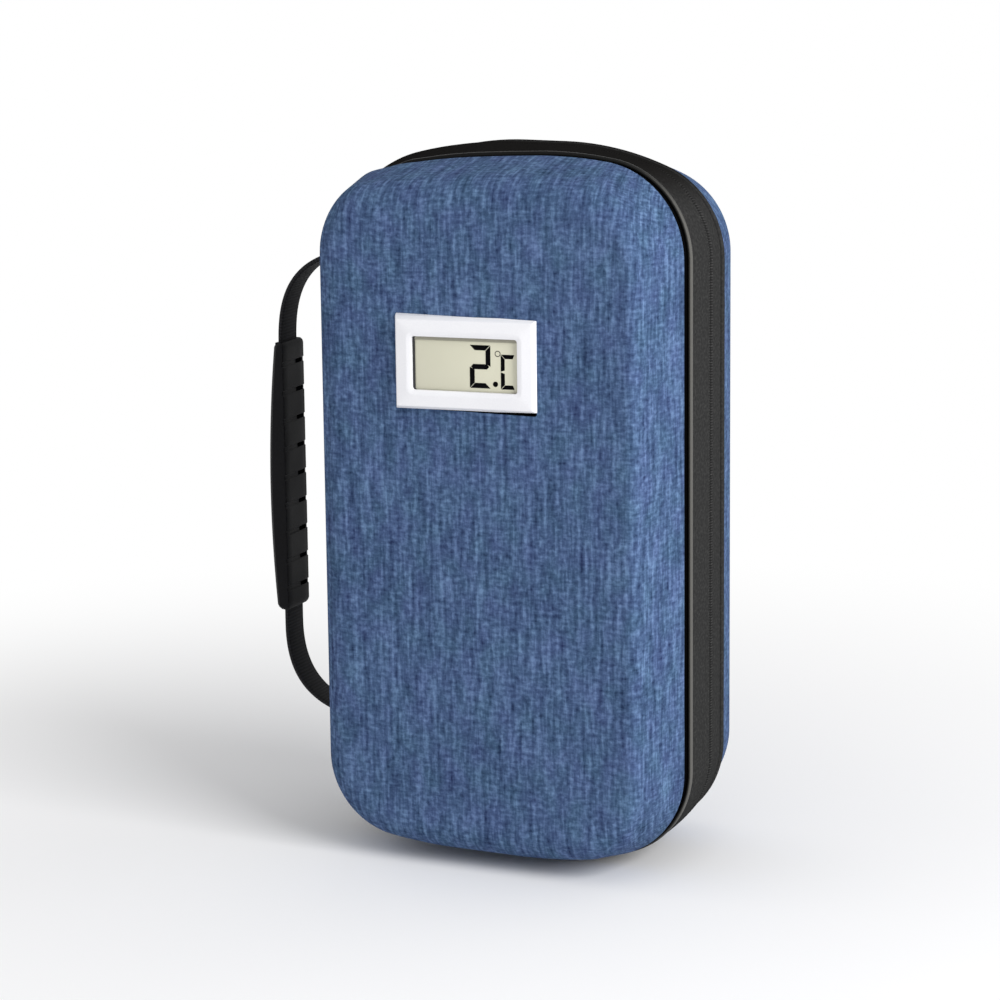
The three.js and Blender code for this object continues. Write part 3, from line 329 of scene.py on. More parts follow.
# Places of a mix node's colour sockets
MIX_FIRST, MIX_SECOND, MIX_RESULT = 6, 7, 2
RIPPLE_PITCH = 0.85
# Direction, in the object's own axes, where the bead's painted highlight is brightest
HIGHLIGHT_SIDE = (0.9, -0.42, 0.0)


def linear(red, green, blue):
    """Colour given as it looks on a screen, 0 to 255, for a shader."""
    values = [c / 255 for c in (red, green, blue)]
    return tuple(c / 12.92 if c <= 0.04045 else ((c + 0.055) / 1.055) ** 2.4 for c in values) + (1,)


class Nodes:
    """A node tree, with short ways to add to it."""

    def __init__(self, tree):
        self.tree = tree

    def node(self, kind, inputs=(), **settings):
        made = self.tree.nodes.new(kind)
        for name, value in settings.items():
            setattr(made, name, value)
        for key, value in dict(inputs).items():
            self.give(made.inputs[key], value)
        return made

    def give(self, socket, value):
        if isinstance(value, bpy.types.NodeSocket):
            self.tree.links.new(value, socket)
        else:
            socket.default_value = value

    def math(self, operation, *values):
        return self.node("ShaderNodeMath", enumerate(values), operation=operation).outputs[0]

    def seen(self):
        """One for a ray from the camera, off a glossy surface or through glass."""
        ray = self.node("ShaderNodeLightPath")
        straight = self.math("MAXIMUM", ray.outputs["Is Camera Ray"], ray.outputs["Is Glossy Ray"])
        return self.math("MAXIMUM", straight, ray.outputs["Is Transmission Ray"])

    def surface(self, output, share, first, second):
        """Two shaders mixed by a share, as what the tree puts out."""
        mixed = self.node("ShaderNodeMixShader", {0: share, 1: first.outputs[0], 2: second.outputs[0]})
        self.give(self.tree.nodes[output].inputs["Surface"], mixed.outputs[0])


class Finish(Nodes):
    """A node material whose uniform values are set on the shader itself."""

    def __init__(self, name, **sockets):
        self.material = bpy.data.materials.new(name)
        self.material.use_nodes = True
        super().__init__(self.material.node_tree)
        self.shader = self.tree.nodes["Principled BSDF"]
        for socket, value in sockets.items():
            self.shader.inputs[socket.replace("_", " ")].default_value = value

    def place(self, scale=(1, 1, 1), attribute=None):
        """Coordinates times scale: the object's own in metres, or an attribute in millimetres."""
        if attribute:
            start = self.node("ShaderNodeAttribute", attribute_name=attribute).outputs["Vector"]
        else:
            start = self.node("ShaderNodeTexCoord").outputs["Object"]
        return self.node("ShaderNodeMapping", {"Vector": start, "Scale": scale}).outputs["Vector"]

    def facing(self):
        """Direction of the surface in the object's own axes."""
        return self.node("ShaderNodeTexCoord").outputs["Normal"]

    def noise(self, vector, scale=1.0, detail=2.0, roughness=0.5):
        inputs = {"Vector": vector, "Scale": scale, "Detail": detail, "Roughness": roughness}
        return self.node("ShaderNodeTexNoise", inputs).outputs["Fac"]

    def threads(self, across, along, detail=2.0, roughness=0.5):
        """Noise drawn out by the cloth coordinates, in changes per millimetre."""
        return self.noise(self.place((across, along, 1), "weave"), 1, detail, roughness)

    def ramp(self, factor, *stops):
        made = self.node("ShaderNodeValToRGB", {"Fac": factor})
        steps = made.color_ramp.elements
        while len(steps) < len(stops):
            steps.new(0.5)
        for step, (position, colour) in zip(steps, stops):
            step.position = position
            step.color = linear(*colour)
        return made.outputs["Color"]

    def remap(self, value, start, stop, low=0.0, high=1.0, kind="LINEAR"):
        inputs = {"Value": value, "From Min": start, "From Max": stop, "To Min": low, "To Max": high}
        return self.node("ShaderNodeMapRange", inputs, interpolation_type=kind).outputs["Result"]

    def spread(self, factor, low, high):
        """A factor around a half, as a value from low to high."""
        return self.remap(factor, 0.3, 0.7, low, high)

    def blend(self, share, first, second):
        mixed = self.node("ShaderNodeMix", {"Factor": share}, data_type="RGBA")
        self.give(mixed.inputs[MIX_FIRST], first)
        self.give(mixed.inputs[MIX_SECOND], second)
        return mixed.outputs[MIX_RESULT]

    def bump(self, height, distance, strength=1.0):
        inputs = {"Height": height, "Distance": distance * MM, "Strength": strength}
        self.give(self.shader.inputs["Normal"], self.node("ShaderNodeBump", inputs).outputs["Normal"])

    def colour(self, value):
        self.give(self.shader.inputs["Base Color"], value)


def moulded(name, dark, light, roughness, grain=900, bump=0.02, specular=0.5, **sockets):
    """A plain moulded or coated surface with a fine grain and slight wear in its colour and gloss."""
    made = Finish(name, Specular_IOR_Level=specular, **sockets)
    fine = made.noise(made.place(), grain, 3)
    broad = made.noise(made.place(), grain / BROADER, 2)
    mixed = made.math("MULTIPLY_ADD", made.math("ADD", fine, broad), 0.5, 0)
    made.colour(made.ramp(mixed, (0.3, dark), (0.7, light)))
    gloss = made.spread(broad, roughness - GLOSS_WEAR, roughness + GLOSS_WEAR)
    made.give(made.shader.inputs["Roughness"], gloss)
    made.bump(fine, bump)
    return made.material


def heather():
    """Blue melange cloth: slubbed upright threads crossed by short weft dashes, with drifts of hue."""
    made = Finish("heather_weave", Roughness=0.95, Specular_IOR_Level=0.08)
    layers = (
        (made.threads(0.70, 0.065, 1), 0.34),
        (made.threads(0.9, 0.17, 1), 0.24),
        (made.threads(0.60, 0.68, 2, 0.6), 0.38),
        (made.threads(0.27, 0.9, 2), 0.26),
        (made.threads(2.4, 0.5, 1), 0.12),
        (made.threads(0.2, 0.03, 0), 0.10),
    )
    total = 0
    for part, weight in layers:
        total = made.math("MULTIPLY_ADD", part, weight, total)
    tone = made.math("DIVIDE", total, sum(weight for _, weight in layers))
    violet = made.ramp(tone, (0.37, (37, 47, 84)), (0.5, (71, 89, 128)), (0.63, (108, 130, 173)))
    teal = made.ramp(tone, (0.37, (31, 51, 76)), (0.5, (66, 91, 121)), (0.63, (103, 133, 167)))
    drift = made.threads(0.13, 0.09, 1)
    made.colour(made.blend(made.spread(drift, 0.1, 0.9), violet, teal))
    made.bump(tone, 0.3, 0.5)
    return made.material


def webbing(name, dark, light, rib=1.1):
    """Woven tape: ribs across its length and fine threads along it."""
    made = Finish(name, Roughness=0.82, Specular_IOR_Level=0.3)
    bands = {
        "Vector": made.place((0, 1, 0), "weave"),
        "Scale": WAVE_PERIOD / rib,
        "Distortion": 0.4,
        "Detail": 1,
    }
    ribs = made.node("ShaderNodeTexWave", bands, wave_type="BANDS", bands_direction="Y").outputs["Fac"]
    threads = made.threads(3.0, 0.5, 2, 0.6)
    mixed = made.math("MULTIPLY_ADD", ribs, 0.45, made.math("MULTIPLY", threads, 0.55))
    made.colour(made.ramp(mixed, (0.25, dark), (0.75, light)))
    made.bump(mixed, 0.18, 0.7)
    return made.material


def zip_tape():
    """Coated black tape with painted shade that darkens it on top, and the ripple of the coil behind it
    showing beside the seam.
    """
    made = Finish("black_tape", Roughness=0.6, Specular_IOR_Level=0)
    along, depth, _ = made.node("ShaderNodeSeparateXYZ", {0: made.place((1, 1, 1), "weave")}).outputs
    away = made.math("ABSOLUTE", made.math("SUBTRACT", depth, SEAM))
    near = made.remap(away, 0.4, 2.4, 1, 0, "SMOOTHSTEP")
    ripple = made.math("SINE", made.math("MULTIPLY", along, 2 * math.pi / RIPPLE_PITCH))
    grain = made.noise(made.place(), 1200, 3)
    streak = made.threads(1.1, 0.9)
    loops = made.math("MULTIPLY", near, made.math("MULTIPLY", ripple, streak))
    edge = made.remap(away, 0.45, 1.0, 0.3, 0)
    base = made.math("SUBTRACT", made.math("MULTIPLY", grain, 0.6), edge)
    tone = made.math("MULTIPLY_ADD", loops, 0.6, made.math("MULTIPLY_ADD", streak, 0.4, base))
    side = made.ramp(tone, (0.2, (35, 35, 35)), (0.5, (49, 49, 49)), (0.8, (68, 68, 67)))
    # Painted shade: a darker copy of the tape's colour, used where its surface faces up
    top = made.ramp(tone, (0.2, (20, 19, 19)), (0.8, (34, 33, 32)))
    upward = made.node("ShaderNodeSeparateXYZ", {0: made.facing()}).outputs["Z"]
    made.colour(made.blend(made.remap(upward, 0.45, 0.95, kind="SMOOTHSTEP"), side, top))
    made.bump(made.math("MULTIPLY_ADD", loops, 2.5, grain), 0.03, 0.8)
    return made.material


def piping():
    """Smooth bead with a painted highlight: a paler grey where it faces the right side of the case, dark on
    top.
    """
    made = Finish("glossy_bead", Roughness=0.42, Specular_IOR_Level=0.05)
    inputs = {0: made.facing(), 1: HIGHLIGHT_SIDE}
    # Painted highlight: the bead's colour turns paler as its surface faces the right side of the case
    painted_highlight = made.node("ShaderNodeVectorMath", inputs, operation="DOT_PRODUCT").outputs["Value"]
    grain = made.noise(made.place(), 900, 3)
    tone = made.math("MULTIPLY_ADD", grain, 0.1, painted_highlight)
    made.colour(made.ramp(tone, (0.3, (14, 14, 14)), (0.62, (38, 38, 37)), (0.98, (92, 91, 88))))
    made.bump(grain, 0.02)
    return made.material


WEAVE = heather()
FOAM = moulded("black_foam", (20, 20, 23), (34, 34, 38), 0.9, 700, 0.08)
FOIL = moulded("silver_foil", (170, 173, 177), (222, 225, 228), 0.34, 160, 0.5, Metallic=0.85)
TAPE = zip_tape()
# Near-black finish as painted shade: in the groove behind the front welt, in the grip's notches and round the
# display's flange
PAINTED_SHADE = moulded("painted_shade_black", (6, 6, 7), (10, 10, 11), 0.8, 1200, 0.03, 0.0)
BEAD = piping()
COIL = moulded("black_coil", (16, 16, 17), (30, 30, 31), 0.5, 1500, 0.02)
WEBBING = webbing("black_webbing", (13, 13, 15), (34, 34, 37))
GRIP = moulded("black_grip", (17, 17, 19), (25, 25, 27), 0.5, 1600, 0.04, 0.08)
METAL = moulded("black_metal", (30, 30, 32), (46, 46, 48), 0.36, 800, 0.02, Metallic=0.7)
PLASTIC = moulded("white_plastic", (231, 231, 235), (238, 238, 241), 0.36, 2200, 0.008, 0.3)
LCD = moulded("lcd_glass", (208, 206, 185), (214, 212, 192), 0.2, 90, 0.0, 0.3)
DARK_CLOTH = moulded("binding_cloth", (26, 27, 30), (40, 41, 45), 0.9, 1800, 0.1, 0.1)
SHADE = moulded("lcd_top_shadow", (146, 144, 130), (158, 156, 142), 0.5, 900, 0.0, 0.1)
FILM = moulded("pale_film", (208, 208, 200), (222, 222, 214), 0.5)
RUBBER = moulded("grey_rubber", (62, 62, 62), (82, 82, 82), 0.8)
BOARD = moulded("board_green", (26, 82, 52), (36, 100, 64), 0.45, 500, 0.03)
STEEL = moulded("bright_steel", (176, 178, 181), (205, 207, 210), 0.28, 1400, 0.01, Metallic=1.0)
DARK = moulded("dark_bead", (22, 22, 23), (34, 34, 35), 0.4)
GEL = moulded("gel_blue", (120, 182, 216), (158, 206, 232), 0.25, 60, 0.3, Coat_Weight=0.4)
CLOTH = webbing("grey_cloth", (66, 69, 75), (104, 107, 114), 0.7)
ELASTIC = webbing("black_elastic", (20, 20, 22), (48, 48, 51), 0.9)
INK = moulded("lcd_segment", (9, 9, 11), (15, 15, 17), 0.6, 900, 0.0, 0.0)
THREAD = moulded("black_thread", (30, 30, 33), (52, 52, 56), 0.7, 2500, 0.05)


# Half shells: woven cover, foam and insulating liner


def wall(half, skin):
    """Section of a surface of a half shell, skin inside the outer one: (depth, inset) round its edge."""
    bend, draft = max(half["round"] - skin, LEAST_ROUND), half["draft"]
    depth = half["depth"] - skin - bend
    inset = math.tan(draft) * depth + (skin + bend) / math.cos(draft)
    turn = np.linspace(draft, math.pi / 2, EDGE_STEPS + 1)
    return np.column_stack((depth + bend * np.sin(turn), inset - bend * np.cos(turn)))


def section(half, skin, collar, roll=0):
    """The same surface from its rim to the edge of the flat face."""
    bend, draft = wall(half, skin), half["draft"]
    start = np.array((-skin * math.tan(draft / 2), skin))
    head = np.empty((0, 2))
    if collar:
        head = np.array([(-collar, skin)])
    if roll:
        turn = np.linspace(0, math.pi / 2, ROLL_STEPS + 1)
        start = np.array((roll, math.tan(draft) * roll))
        head = np.column_stack((roll * (1 - np.cos(turn)), roll + (start[1] - roll) * np.sin(turn)))[:-1]
    share = np.linspace(0, 1, WALL_STEPS + 1)[:-1, None]
    return np.vstack((head, start + (bend[0] - start) * share, bend))


def hole_ring(edge, middle, half):
    """Points round a rectangular hole, one for each point of the outline round it."""
    away = edge - middle
    reach = np.max(np.abs(away) / half, axis=1)
    ring = middle + away / reach[:, None]
    bearing = np.arctan2(away[:, 1], away[:, 0])
    for signs in ((-1, -1), (-1, 1), (1, -1), (1, 1)):
        corner = half * signs
        ring[np.argmin(np.abs(bearing - math.atan2(corner[1], corner[0])))] = middle + corner
    return ring


def surface(half, skin, collar, roll, hole, full):
    """Rings of one surface from its rim to the hole or the middle of its face, with cloth coordinates."""
    rim, normal = outline(0, half["rim"])
    firm = {**half, **half["right"]}
    plain, right = (section(shape, skin, collar, roll)[:, None] for shape in (half, firm))
    profile = plain + (right - plain) * smooth(normal[:, :1], *RIGHT_SIDE)
    steps = np.linalg.norm(np.diff(profile, axis=0), axis=2)
    left = np.vstack((np.cumsum(steps[::-1], axis=0)[::-1], np.zeros(len(rim))))
    edge = rim - normal * profile[-1, :, 1:]
    apart = half["side"] * CLOTH_APART
    rings, cloth = [], []
    for line, beyond in zip(profile, left):
        rings.append(at_depth(rim - normal * line[:, 1:], half["rim"] + half["side"] * line[:, 0]))
        cloth.append(at_height(edge + normal * beyond[:, None], apart))
    target = hole_ring(edge, *hole) if hole else edge * FACE_MIDDLE
    for share in np.linspace(0, 1, FACE_STEPS + 1)[1:]:
        flat = edge + (target - edge) * share
        rise = half["depth"] - skin + full * (1 - (1 - share) ** 2)
        rings.append(at_depth(flat, half["rim"] + half["side"] * rise))
        cloth.append(at_height(flat, apart))
    return rings, cloth


def shell(name, half, skin, thick, collar, finish, body, node, hole, roll=0, full=0):
    """One layer of a half shell."""
    outer, outer_cloth = surface(half, skin, collar, roll, hole, full)
    inner, inner_cloth = surface(half, skin + thick, collar, 0, hole, full)
    shape = stack(outer[::-1] + inner, closed=bool(hole))
    piece(name, shape, finish, body, [node], weave=np.vstack(outer_cloth[::-1] + inner_cloth))


def half_shell(end, half, body, hole, full):
    """Woven cover, foam and liner of one half."""
    collar = half["collar"]
    shell(f"{end}_fabric", half, 0, FABRIC_THICK, 0, WEAVE, body, f"{end}_fabric_cover",
          hole, FABRIC_THICK, full)
    shell(f"{end}_foam", half, FOAM_SKIN, FOAM_THICK, collar, FOAM, body,
          f"{end}_foam_shell", hole)
    shell(f"{end}_liner", half, LINER_SKIN, LINER_THICK, collar, FOIL, body,
          f"{end}_insulated_liner", hole)


half_shell("front", FRONT, "lid", (np.array((DISPLAY_X, DISPLAY_Z)), HOUSING + HOUSING_ROOM), FRONT_FULL)
half_shell("rear", REAR, "rear", None, REAR_FULL)


# Band: welts and zip tapes, with sections of (y, offset from the outline)

SEAT = -0.8
FRONT_BEAD, FRONT_BEAD_TOP = (-13.1, -11.0), 0.8
REAR_BEAD, REAR_BEAD_TOP = (13.3, 15.6), 0.85
WELT_FLANGE, WELT_FLANGE_TOP, WELT_FLANGE_LOW = (-15.2, -12.4), -0.7, SEAT - 0.2
FRONT_TAPE, REAR_TAPE = (-10.7, 2.2), (2.8, 13.2)
TAPE_OUTER = 0.3
TAPE_STEPS = 25
TAPE_STOP = math.radians(3.2)
FRONT_TAPE_START = math.radians(22.6)
BULGE, BULGE_MIDDLE, BULGE_HALF = 0.9, 0.5, 13.5
SEAM_LIP, SEAM_DROP = 0.9, 0.55
EDGE_LIP, EDGE_DROP = 1.2, 0.45
GUARD, GUARD_LOW, GUARD_TOP = (0.6, 8.0), -4.8, -3.7
GUARD_START = math.radians(46)
SLIDER_ROOM = math.radians(64), math.radians(44)
SLIDER_FLAT = 0.2


def swept_ring(points):
    """A closed band round the case, through (y, offset) points of its section."""
    return stack([at_depth(outline(offset, y)[0], y) for y, offset in points], closed=True)


def swept_run(points, lower_stop, upper_stop):
    """A band from the lower left round the right side to the upper left, with flat ends.

    It lies flat round the lower left corner, where the zip slider runs over it.
    """
    rings = []
    for y, offset in points:
        flat, normal = open_outline(offset, y, lower_stop, upper_stop)
        turn = np.arctan2(-normal[:, 1], -normal[:, 0])
        eased = np.where(turn > 0, smooth(turn, *SLIDER_ROOM), 0) * max(offset - SLIDER_FLAT, 0)
        rings.append(at_depth(flat - normal * eased[:, None], y))
    rows, columns = len(rings), len(rings[0])
    ends = [[r * columns + end for r in range(rows)] for end in (0, columns - 1)]
    return np.vstack(rings), grid(rows, columns, wrap_rows=True, wrap_columns=False) + ends


def bead_section(y, low, high, square=0.75, steps=18):
    """Rounded section between two depths and two offsets, squarer for a smaller power."""
    turn = np.linspace(0, 2 * math.pi, steps, endpoint=False)
    across, up = (np.sign(wave) * np.abs(wave) ** square for wave in (np.cos(turn), np.sin(turn)))
    return list(zip(
        (y[0] + y[1]) / 2 + (y[1] - y[0]) / 2 * across,
        (low + high) / 2 + (high - low) / 2 * up,
    ))


def tape_section(y, seam_end):
    """Section of a zip tape: a soft bulge outside, rounded edges, turned down where the two tapes meet."""
    along = y[0] + (y[1] - y[0]) * np.linspace(0, 1, TAPE_STEPS)
    bulge = BULGE * (1 - ((along - BULGE_MIDDLE) / BULGE_HALF) ** 2)
    lip = np.clip(np.abs(along - y[seam_end]) / SEAM_LIP, 0, 1)
    edge = np.clip(np.abs(along - y[1 - seam_end]) / EDGE_LIP, 0, 1)
    drop = SEAM_DROP * (1 - lip) ** 2 + EDGE_DROP * (1 - edge) ** 2
    return [*zip(along, TAPE_OUTER + bulge - drop), (y[1], SEAT), (y[0], SEAT)]


def taped(name, shape, count, body, node):
    """A coated piece of the band. Its cloth coordinates are the length along it and the depth Y."""
    rings = shape[0].reshape(count, -1, 3)
    length = np.tile(lengths(rings[0]), count)
    weave = np.column_stack((length, rings[:, :, 1].ravel(), np.zeros(len(length))))
    piece(name, shape, TAPE, body, [node], weave=weave)


def band():
    """Welts, zip tapes and the guard behind the seam."""
    bead = swept_ring(bead_section(FRONT_BEAD, SEAT, FRONT_BEAD_TOP))
    piece("front_bead", bead, BEAD, "lid", ["front_welt"])
    # The welt's flange at the floor of the groove is near-black, as painted shade in the groove
    start, stop = WELT_FLANGE
    flange = swept_ring([(start, WELT_FLANGE_TOP), (stop, WELT_FLANGE_TOP),
                         (stop, WELT_FLANGE_LOW), (start, WELT_FLANGE_LOW)])
    piece("front_welt_flange", flange, PAINTED_SHADE, "lid")
    line = bead_section(REAR_BEAD, SEAT, REAR_BEAD_TOP)
    taped("rear_bead", swept_ring(line), len(line), "rear", "rear_welt")
    line = tape_section(FRONT_TAPE, 1)
    taped("front_tape", swept_run(line, FRONT_TAPE_START, TAPE_STOP), len(line), "lid", "front_zip_tape")
    line = tape_section(REAR_TAPE, 0)
    taped("rear_tape", swept_run(line, TAPE_STOP, TAPE_STOP), len(line), "rear", "rear_zip_tape")
    guard = swept_run(bead_section(GUARD, GUARD_LOW, GUARD_TOP, 0.4), GUARD_START, TAPE_STOP)
    piece("zip_guard", guard, FOAM, "rear")


band()


# Zip teeth, measured along the seam, across it and out of the case

TOOTH_PITCH, TOOTH_START = 1.5, 0.8
TOOTH = (-0.45, 0.45), (-0.47, 0.47), (-0.6, 0.75)
TOOTH_BEVEL = 0.26
TOOTH_LEVEL, TOOTH_APART = -1.1, 0.84
CORE_FROM, CORE_TO = 0.7, 2.2
CORE_LOW, CORE_TOP = -1.7, -1.0
COIL_SHORT, COIL_RADIUS = 1.9, 31
COIL_STOP = TAPE_STOP + COIL_SHORT / COIL_RADIUS


def walk(flat, normal, pitch, start):
    """Places at an even pitch along a line of points, with the direction along it and out of it."""
    length = lengths(flat)
    at = np.arange(start, length[-1], pitch)
    place, out = (np.column_stack([np.interp(at, length, column) for column in each.T])
                  for each in (flat, normal))
    out /= np.linalg.norm(out, axis=1)[:, None]
    return place, np.column_stack((-out[:, 1], out[:, 0])), out


def coil(name, side, stops, body, node):
    """Zip teeth: small rounded loops in a row, on a core that lies under the tape."""
    start = TOOTH_START if side < 0 else TOOTH_START + TOOTH_PITCH / 2
    loop, loop_faces = bevelled_box(*TOOTH, TOOTH_BEVEL, 2)
    depth = SEAM + side * TOOTH_APART + loop[:, 1]
    parts = []
    for place, along, out in zip(*walk(*open_outline(TOOTH_LEVEL, SEAM, *stops), TOOTH_PITCH, start)):
        parts.append((at_depth(place + loop[:, :1] * along + loop[:, 2:] * out, depth), loop_faces))
    core = bead_section(sorted((SEAM + side * CORE_FROM, SEAM + side * CORE_TO)), CORE_LOW, CORE_TOP, 0.8, 8)
    parts.append(swept_run(core, *stops))
    piece(name, joined(parts), COIL, body, [node])


coil("front_teeth", -1, (FRONT_TAPE_START, COIL_STOP), "lid", "front_zip_coil")
coil("rear_teeth", 1, (COIL_STOP, COIL_STOP), "rear", "rear_zip_coil")


# Handle: webbing strap and moulded grip

STRAP_PLANE = -87.0
STRAP_WIDTH, STRAP_THICK, STRAP_ROUND = 10.6, 1.5, 0.6
STRAP_STRAIGHT, STRAIGHT_STEPS = 47.7, 31
STRAP_Z = -1.3
UPPER_ARCH = np.array([(STRAP_PLANE, STRAP_STRAIGHT), (STRAP_PLANE, 64.7), (-80.9, 75.4), (-61.6, 78.6)])
LOWER_ARCH = np.array([(STRAP_PLANE, -STRAP_STRAIGHT), (STRAP_PLANE, -63.2), (-80.9, -73.6), (-61.6, -76.6)])
ARCH_END, ARCH_STEPS = 0.98, 40


def bezier(control, share):
    t = share[:, None]
    a, b, c, d = control
    return a * (1 - t) ** 3 + 3 * b * t * (1 - t) ** 2 + 3 * c * t ** 2 * (1 - t) + d * t ** 3


def strap():
    """One webbing strap: up from the lower patch, through the grip, and over to the upper patch."""
    share = np.linspace(0, ARCH_END, ARCH_STEPS)
    straight = np.linspace(-STRAP_STRAIGHT, STRAP_STRAIGHT, STRAIGHT_STEPS + 1)[1:-1]
    middle = np.column_stack((np.full(len(straight), STRAP_PLANE), straight))
    line = np.vstack((bezier(LOWER_ARCH, share)[::-1], middle, bezier(UPPER_ARCH, share)))
    ring = rounded_section(STRAP_WIDTH / 2, STRAP_THICK / 2, STRAP_ROUND, 3)
    points, faces = stack(swept_line(line, ring))
    cloth = np.vstack([at_depth(ring, length) for length in lengths(line)])
    return piece("handle_webbing", (points + (0, 0, STRAP_Z), faces), WEBBING, None,
                 ["handle_strap"], weave=cloth)


HANDLE_STRAP = strap()
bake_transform(HANDLE_STRAP)

GRIP_Z, GRIP_HALF = 1.3, 44.8
GRIP_INNER, GRIP_WIDTH, GRIP_END_THICK = -85.0, 15, 4
GRIP_SWELL, GRIP_LOW, GRIP_SPAN = 2.5, 5, 47
GRIP_SOFT, GRIP_BEVEL = 0.7, 1.6
GRIP_END, GRIP_END_INNER, GRIP_END_OUTER = 1.5, 0.6, 0.9
GRIP_END_STEPS, GRIP_STATIONS = np.array((0, 0.25, 0.7, GRIP_END)), np.arange(-42, 42.1, 2.8)
NOTCH_COUNT, NOTCH_PITCH, NOTCH_WIDTH = 9, 9.4, 1.2
NOTCH_DEPTH, NOTCH_WALL = 0.3, 0.35
SLOT_INNER = [(-86.2, 6.3), (-85.8, 6.3), (-85.8, 6.2), (-85.8, 3), (-85.8, 0)]
SLOT_OUTER = [(-87.8, 6.3), (-88.2, 6.3), (-88.2, 6.2), (-88.2, 3), (-88.2, 0)]
SLOT_DEPTH = 2.5
# Place of the near-black strips in the grip's notches, which are painted shade
NOTCH_SHADE_X, NOTCH_SHADE_Y = (GRIP_INNER - 1.2, GRIP_INNER - 0.12), (2.2, 6.2)


def grip_ring(inner, outer, z):
    """Ring round the grip, from halves of its inner and outer face that end on the middle line."""
    other_inner, other_outer = ([(x, -y) for x, y in half[:-1]] for half in (inner, outer))
    return at_height(np.array([*other_inner, *inner[::-1], *outer, *other_outer[::-1]]), z + GRIP_Z)


def grip():
    """Moulded grip: swelling outwards, notched inside, with a slot for the strap in each end."""
    notches = (np.arange(NOTCH_COUNT) - (NOTCH_COUNT - 1) / 2) * NOTCH_PITCH
    reaches = NOTCH_WIDTH / 2, NOTCH_WIDTH / 2 + NOTCH_WALL
    edges = [notches + side * reach for side in (-1, 1) for reach in reaches]
    ends = GRIP_HALF - GRIP_END_STEPS
    stations = np.concatenate((-ends, ends, *edges, GRIP_STATIONS))
    rings = [grip_ring(SLOT_INNER, SLOT_OUTER, z) for z in (SLOT_DEPTH - GRIP_HALF, -GRIP_HALF)]
    for z in np.unique(stations.round(4)):
        swell = GRIP_SWELL * (1 - ((z + GRIP_LOW) / GRIP_SPAN) ** 2)
        taper = max(0, 1 - (GRIP_HALF - abs(z)) / GRIP_END) ** 2
        notch = NOTCH_DEPTH * (np.min(np.abs(notches - z)) < (NOTCH_WIDTH + NOTCH_WALL) / 2)
        inner = GRIP_INNER - notch - GRIP_END_INNER * taper
        outer = GRIP_INNER - GRIP_END_THICK - swell + GRIP_END_OUTER * taper
        half = GRIP_WIDTH / 2 - GRIP_END_OUTER * taper
        inner_half = [
            (inner - GRIP_SOFT, half), (inner - 0.2 * GRIP_SOFT, half - 0.2 * GRIP_SOFT),
            (inner, half - GRIP_SOFT), (inner, half / 2), (inner, 0),
        ]
        outer_half = [
            (outer + GRIP_BEVEL, half), (outer + 0.45 * GRIP_BEVEL, half - 0.35 * GRIP_BEVEL),
            (outer, half - GRIP_BEVEL), (outer - 0.15, half / 2), (outer - 0.2, 0),
        ]
        rings.append(grip_ring(inner_half, outer_half, z))
    rings += [grip_ring(SLOT_INNER, SLOT_OUTER, z) for z in (GRIP_HALF, GRIP_HALF - SLOT_DEPTH)]
    piece("moulded_grip", stack(rings), GRIP, "handle", ["handle_grip"], sharp=28)
    # Painted shade: a near-black strip in each notch
    notch_shades = [bevelled_box(NOTCH_SHADE_X, NOTCH_SHADE_Y, around(z + GRIP_Z, NOTCH_WIDTH), 0.1, 1) for z in notches]
    piece("grip_notch_shades", joined(notch_shades), PAINTED_SHADE, "handle")


grip()


# Spine strip, the tapes over its two folds, and the patches that hold the strap

STITCH_SECTIONS, STITCH_SIDES, STITCH_END = (-1, -0.7, 0, 0.7, 1), 6, 0.25
SPINE_X, SPINE_Y, SPINE_HALF = (-61.6, -59.2), (-10.7, 13.2), 80.09
SPINE_SEAM, SPINE_SEAM_END = 1.6, 2
HINGE_THICK, HINGE_END = 0.35, 0.4
HINGE_ROWS, HINGE_STEPS = 41, 19
HINGE_TAPES = (
    ("hinge_tape_rear", "rear", "spine", 13.35,
     [(12.3, -62.0), (12.9, -61.95), (13.4, -61.75), (13.9, -61.4), (14.5, -60.95), (15.3, -60.6)]),
    ("hinge_tape_front", "spine", "lid", -10.85,
     [(-9.8, -62.0), (-10.4, -61.95), (-10.9, -61.75), (-11.3, -61.4), (-11.7, -61.1), (-12.2, -60.95)]),
)
PATCH_X, PATCH_Y, PATCH_TALL, PATCH_SEAM = (-63.1, -61.9), (-9, 9), 15, 1.5
PATCH_LOW = {"upper": 64.0, "lower": -79.9}


def disc(x, z, radius, steps=20):
    turn = np.linspace(0, 2 * math.pi, steps, endpoint=False)
    return np.column_stack((x + radius * np.cos(turn), z + radius * np.sin(turn)))


def stitches(name, lines, out, body, length=2.6, gap=1.0, radius=0.28):
    """Rows of thread stitches along straight lines, lying on a surface that faces out."""
    sizes = [max(math.sqrt(1 - share ** 4), STITCH_END) for share in STITCH_SECTIONS]
    rings = [at_side(disc(0, 0, size, STITCH_SIDES), share) for share, size in zip(STITCH_SECTIONS, sizes)]
    ball, faces = stack(rings)
    parts = []
    for start, stop in np.array(lines, float):
        whole = np.linalg.norm(stop - start)
        along = (stop - start) / whole
        axes = along * length / 2, np.cross(out, along) * radius, np.array(out) * radius
        for at in np.arange(length / 2, whole, length + gap):
            parts.append((start + along * at + ball @ axes, faces))
    piece(name, joined(parts), THREAD, body)


def cloth_of(points, across, along):
    """Cloth coordinates taken from two of the axes."""
    return np.column_stack((points[:, across], points[:, along], np.zeros(len(points))))


